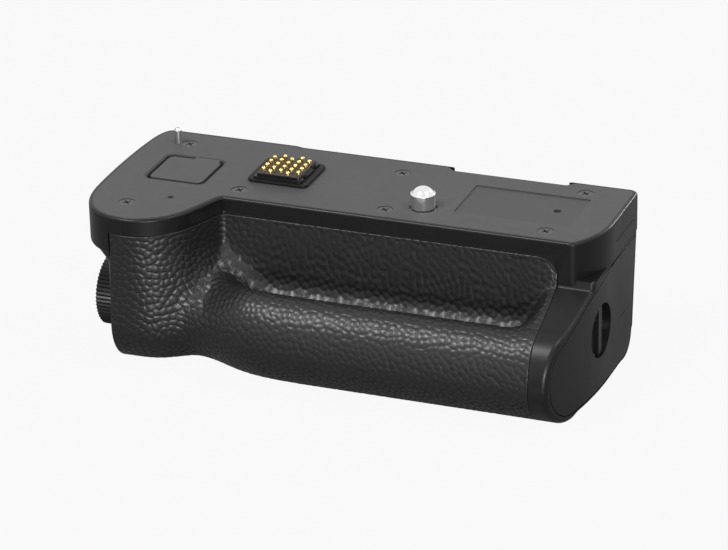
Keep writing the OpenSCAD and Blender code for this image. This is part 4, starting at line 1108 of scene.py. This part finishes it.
def line_cutter(name, y0, y1, z):
    """A fine groove along Y in the right end."""
    outline = rectangle(y0, z - LINE_W / 2, y1, z + LINE_W / 2)
    return prism_x(name, outline, RIGHT_REACH - LINE_DEEP, RIGHT_REACH + OVER)


class GRIP_OT_leather(bpy.types.Operator):
    """Builds the pebbled leather of the grip and of the thumb rest"""
    bl_idname = "grip.leather"
    bl_label = "Grip leather"

    def execute(self, context):
        sizes = context.scene.grip_sizes
        look = finishes(context)
        for piece, node in ((front_leather(sizes), "front_grip_skin"), (thumb_leather(sizes), "rear_thumb_skin")):
            dress(shade(piece, LEATHER_ANGLE), [node], look["skin"])
        return {"FINISHED"}


# The cap pocket's middle carries on the plate's grey, and the pin is duller than the screw
FINISH_OF = {**SLOT_OF, "cap_pocket": "plate", "locating_pin": "steel"}


def dress_plain(context, pieces):
    """Finishes nodes that keep the frame's form, each with the rounding of its edges in millimetres."""
    look = finishes(context)
    for node, rounding in pieces.items():
        dress(copy_node(node, node + "_finish", rounding), [node], look[FINISH_OF[node]])


class GRIP_OT_top(bpy.types.Operator):
    """Finishes the top plate with its screws, cap pocket and locating pin"""
    bl_idname = "grip.top"
    bl_label = "Top plate"

    def execute(self, context):
        dress_plain(context, {"top_plate": 0.12, "plate_screws": 0.1, "cap_pocket": 0.2, "locating_pin": 0.0})
        return {"FINISHED"}


class GRIP_OT_contacts(bpy.types.Operator):
    """Finishes the contact block, its seal and its spring pins"""
    bl_idname = "grip.contacts"
    bl_label = "Contact block"

    def execute(self, context):
        dress_plain(context, {"connector_block": 0.15, "connector_seal": 0.25, "pogo_pins": 0.12})
        return {"FINISHED"}


class GRIP_OT_fastening(bpy.types.Operator):
    """Finishes the camera screw, its gear and the tightening wheel"""
    bl_idname = "grip.fastening"
    bl_label = "Camera screw and wheel"

    def execute(self, context):
        dress_plain(context, {"camera_screw": 0.1, "screw_gear": 0.05, "screw_bush": 0.1, "thumb_wheel": 0.0,
                              "wheel_axle": 0.1})
        return {"FINISHED"}


class GRIP_OT_controls(bpy.types.Operator):
    """Finishes the shutter button, the dials and the focus button"""
    bl_idname = "grip.controls"
    bl_label = "Controls"

    def execute(self, context):
        dress_plain(context, {"shutter_button": 0.2, "shutter_collar": 0.15, "front_dial": 0.08, "rear_dial": 0.08,
                              "rear_dial_axle": 0.1, "af_button": 0.3})
        return {"FINISHED"}


KEY_AT = node_middle("tray_latch")[1:]
KEY_R = node_radius("tray_latch", 2) + RUN_GAP
KEY_FLOOR_X = RIGHT_REACH - 3.0
SHAFT_R = 2.1


def tray_door(rounding):
    """The door on the convex end, with the recess of its turn key and an index line."""
    door = prism_x("door_finish", door_outline(), DOOR_X, RIGHT_REACH + OVER)
    carve(door, [prism_z("door_plan", end_plan(RIGHT_REACH - DOOR_REACH), BASE_Z - OVER, 0)], "INTERSECT")
    behind = rectangle(DOOR_X - 1, -FRONT_Y, DOOR_IN_X, BACK_Y + 2 * OVER)
    carve(door, [prism_z("door_back", behind, BASE_Z - OVER, 0)])
    soften(door, rounding, 3, 45)
    return carve(door, [prism_x("key_recess", circle(KEY_R, KEY_AT, 96), KEY_FLOOR_X, RIGHT_REACH + OVER),
                        prism_x("key_bore", circle(SHAFT_R, KEY_AT), DOOR_IN_X - 1, RIGHT_REACH),
                        line_cutter("index_line", *INDEX_LINE)])


class GRIP_OT_tray(bpy.types.Operator):
    """Finishes the battery tray with its door, cells, contacts and turn key"""
    bl_idname = "grip.tray"
    bl_label = "Battery tray"

    def execute(self, context):
        dress_plain(context, {"tray_frame": 0.1, "door_screws": 0.05, "tray_cells": 0.4, "tray_contacts": 0.1,
                              "tray_latch": 0.25, "latch_cam": 0.1})
        door = tray_door(context.scene.grip_sizes.door_round / MM)
        dress(shade(door), ["tray_door"], finishes(context)["case"])
        return {"FINISHED"}


class GRIP_OT_inside(bpy.types.Operator):
    """Finishes the circuit board, the bay contacts and the tripod socket"""
    bl_idname = "grip.inside"
    bl_label = "Inner pieces"

    def execute(self, context):
        dress_plain(context, {"circuit_board": 0.05, "board_screws": 0.05, "bay_contacts": 0.1, "tripod_socket": 0.2})
        return {"FINISHED"}


# Camera of the photograph: direction and roll in degrees, offsets and distance in millimetres
CAMERA_AZIMUTH, CAMERA_ELEVATION, CAMERA_ROLL = 21.375, 24.643, -1.277
CAMERA_RIGHT, CAMERA_UP, CAMERA_BACK = -14.763, -16.957, 895.73


def add_camera(context):
    az, el, roll = (math.radians(v) for v in (CAMERA_AZIMUTH, CAMERA_ELEVATION, CAMERA_ROLL))
    back = Vector((math.sin(az) * math.cos(el), -math.cos(az) * math.cos(el), math.sin(el)))
    flat = Vector((math.cos(az), math.sin(az), 0))
    rise = back.cross(flat)
    right = flat * math.cos(roll) + rise * math.sin(roll)
    up = rise * math.cos(roll) - flat * math.sin(roll)
    data = bpy.data.cameras.new("camera")
    data.lens = context.scene.grip_stage.focal_length
    data.sensor_width = 36.0
    camera = add_object("camera", data)
    place = (right * CAMERA_RIGHT + up * CAMERA_UP + back * CAMERA_BACK) * MM
    turn = Matrix((right, up, back)).transposed().to_4x4()
    camera.matrix_world = Matrix.Translation(place) @ turn
    context.scene.camera = camera


def add_area(name, place, aim, size, power):
    data = bpy.data.lights.new(name, "AREA")
    data.shape = "RECTANGLE"
    data.size, data.size_y = size
    data.energy = power
    lamp = add_object(name, data)
    lamp.location = place
    lamp.rotation_euler = (Vector(aim) - Vector(place)).to_track_quat("-Z", "Y").to_euler()


def seen_white(tree, plain, mirrored):
    """Share of white that the camera sees plainly, and in metal or glass."""
    rays = add_node(tree, "ShaderNodeLightPath").outputs
    bounced = math_node(tree, "MAXIMUM", rays["Is Glossy Ray"], rays["Is Transmission Ray"])
    share = math_node(tree, "MULTIPLY", rays["Is Camera Ray"], plain)
    return math_node(tree, "ADD", share, math_node(tree, "MULTIPLY", bounced, mirrored))


# Half the floor's width in metres, its gap under the base in millimetres, and the shares of white
FLOOR_HALF, FLOOR_GAP = 4.0, 0.05
FLOOR_PLAIN, FLOOR_MIRRORED = 0.93, 0.15
WORLD_LIGHT = 0.2
WORLD_WHITE = 1 - WORLD_LIGHT

# Lamps: place, aim and size in metres
LAMPS = {
    "key": ((-0.3, -0.42, 0.71), (0, 0, 0), (0.3, 0.24)),
    "edge": ((0.5, -0.05, 0.74), (0.03, 0, 0), (0.14, 0.1)),
    "back": ((0.35, 0.75, 0.3), (0.03, 0, 0), (0.15, 0.12)),
    "low": ((0.33, -0.65, -0.005), (0, 0, -0.02), (0.2, 0.07)),
}


def add_floor(stage):
    corners = np.array([(-1, -1, 0), (1, -1, 0), (1, 1, 0), (-1, 1, 0)]) * FLOOR_HALF / MM
    floor = add_mesh("floor", corners + [0, 0, BASE_Z - FLOOR_GAP], [(0, 1, 2, 3)])
    material, tree, shader = material_base("Pale floor", stage.floor, 0.8)
    glow = add_node(tree, "ShaderNodeEmission", {"Color": (1, 1, 1, 1), "Strength": 1.0})
    share = seen_white(tree, FLOOR_PLAIN, FLOOR_MIRRORED)
    blend = add_node(tree, "ShaderNodeMixShader", {0: share, 1: shader.outputs[0], 2: glow.outputs[0]})
    tree.links.new(blend.outputs[0], tree.nodes["Material Output"].inputs["Surface"])
    floor.data.materials.append(material)


def add_world(context):
    world = bpy.data.worlds.new("studio")
    world.use_nodes = True
    context.scene.world = world
    air = world.node_tree
    base = air.nodes["Background"]
    base.inputs["Color"].default_value = (1, 1, 1, 1)
    strength = math_node(air, "ADD", seen_white(air, WORLD_WHITE, WORLD_WHITE), WORLD_LIGHT)
    air.links.new(strength, base.inputs["Strength"])


class GRIP_OT_stage(bpy.types.Operator):
    """Sets the floor, the soft lights, the white surround and the camera"""
    bl_idname = "grip.stage"
    bl_label = "Stage"

    def execute(self, context):
        stage = context.scene.grip_stage
        context.scene.view_settings.view_transform = "Standard"
        add_floor(stage)
        add_world(context)
        for name, (place, aim, size) in LAMPS.items():
            add_area(name, place, aim, size, getattr(stage, name + "_power"))
        add_camera(context)
        return {"FINISHED"}


class GRIP_PT_panel(bpy.types.Panel):
    """Lists the steps that build the grip"""
    bl_idname = "GRIP_PT_panel"
    bl_label = "Camera battery grip"
    bl_space_type = "VIEW_3D"
    bl_region_type = "UI"
    bl_category = "Grip"

    def draw(self, context):
        for group in (context.scene.grip_sizes, context.scene.grip_colours, context.scene.grip_stage):
            for name in group.__annotations__:
                self.layout.prop(group, name)
        for step in STEPS:
            self.layout.operator(step.bl_idname)


STEPS = (GRIP_OT_housing, GRIP_OT_leather, GRIP_OT_top, GRIP_OT_contacts, GRIP_OT_fastening, GRIP_OT_controls,
         GRIP_OT_tray, GRIP_OT_inside, GRIP_OT_stage)
CLASSES = (GripSizes, GripColours, StageSettings, *STEPS, GRIP_PT_panel)


def register():
    for kind in CLASSES:
        bpy.utils.register_class(kind)
    bpy.types.Scene.grip_sizes = bpy.props.PointerProperty(type=GripSizes)
    bpy.types.Scene.grip_colours = bpy.props.PointerProperty(type=GripColours)
    bpy.types.Scene.grip_stage = bpy.props.PointerProperty(type=StageSettings)


def unregister():
    del bpy.types.Scene.grip_stage
    del bpy.types.Scene.grip_colours
    del bpy.types.Scene.grip_sizes
    for kind in reversed(CLASSES):
        bpy.utils.unregister_class(kind)


def main():
    register()
    bpy.ops.grip.stage()
    bpy.ops.grip.housing()
    bpy.ops.grip.leather()
    bpy.ops.grip.top()
    bpy.ops.grip.contacts()
    bpy.ops.grip.fastening()
    bpy.ops.grip.controls()
    bpy.ops.grip.tray()
    bpy.ops.grip.inside()


if __name__ == "__main__":
    main()
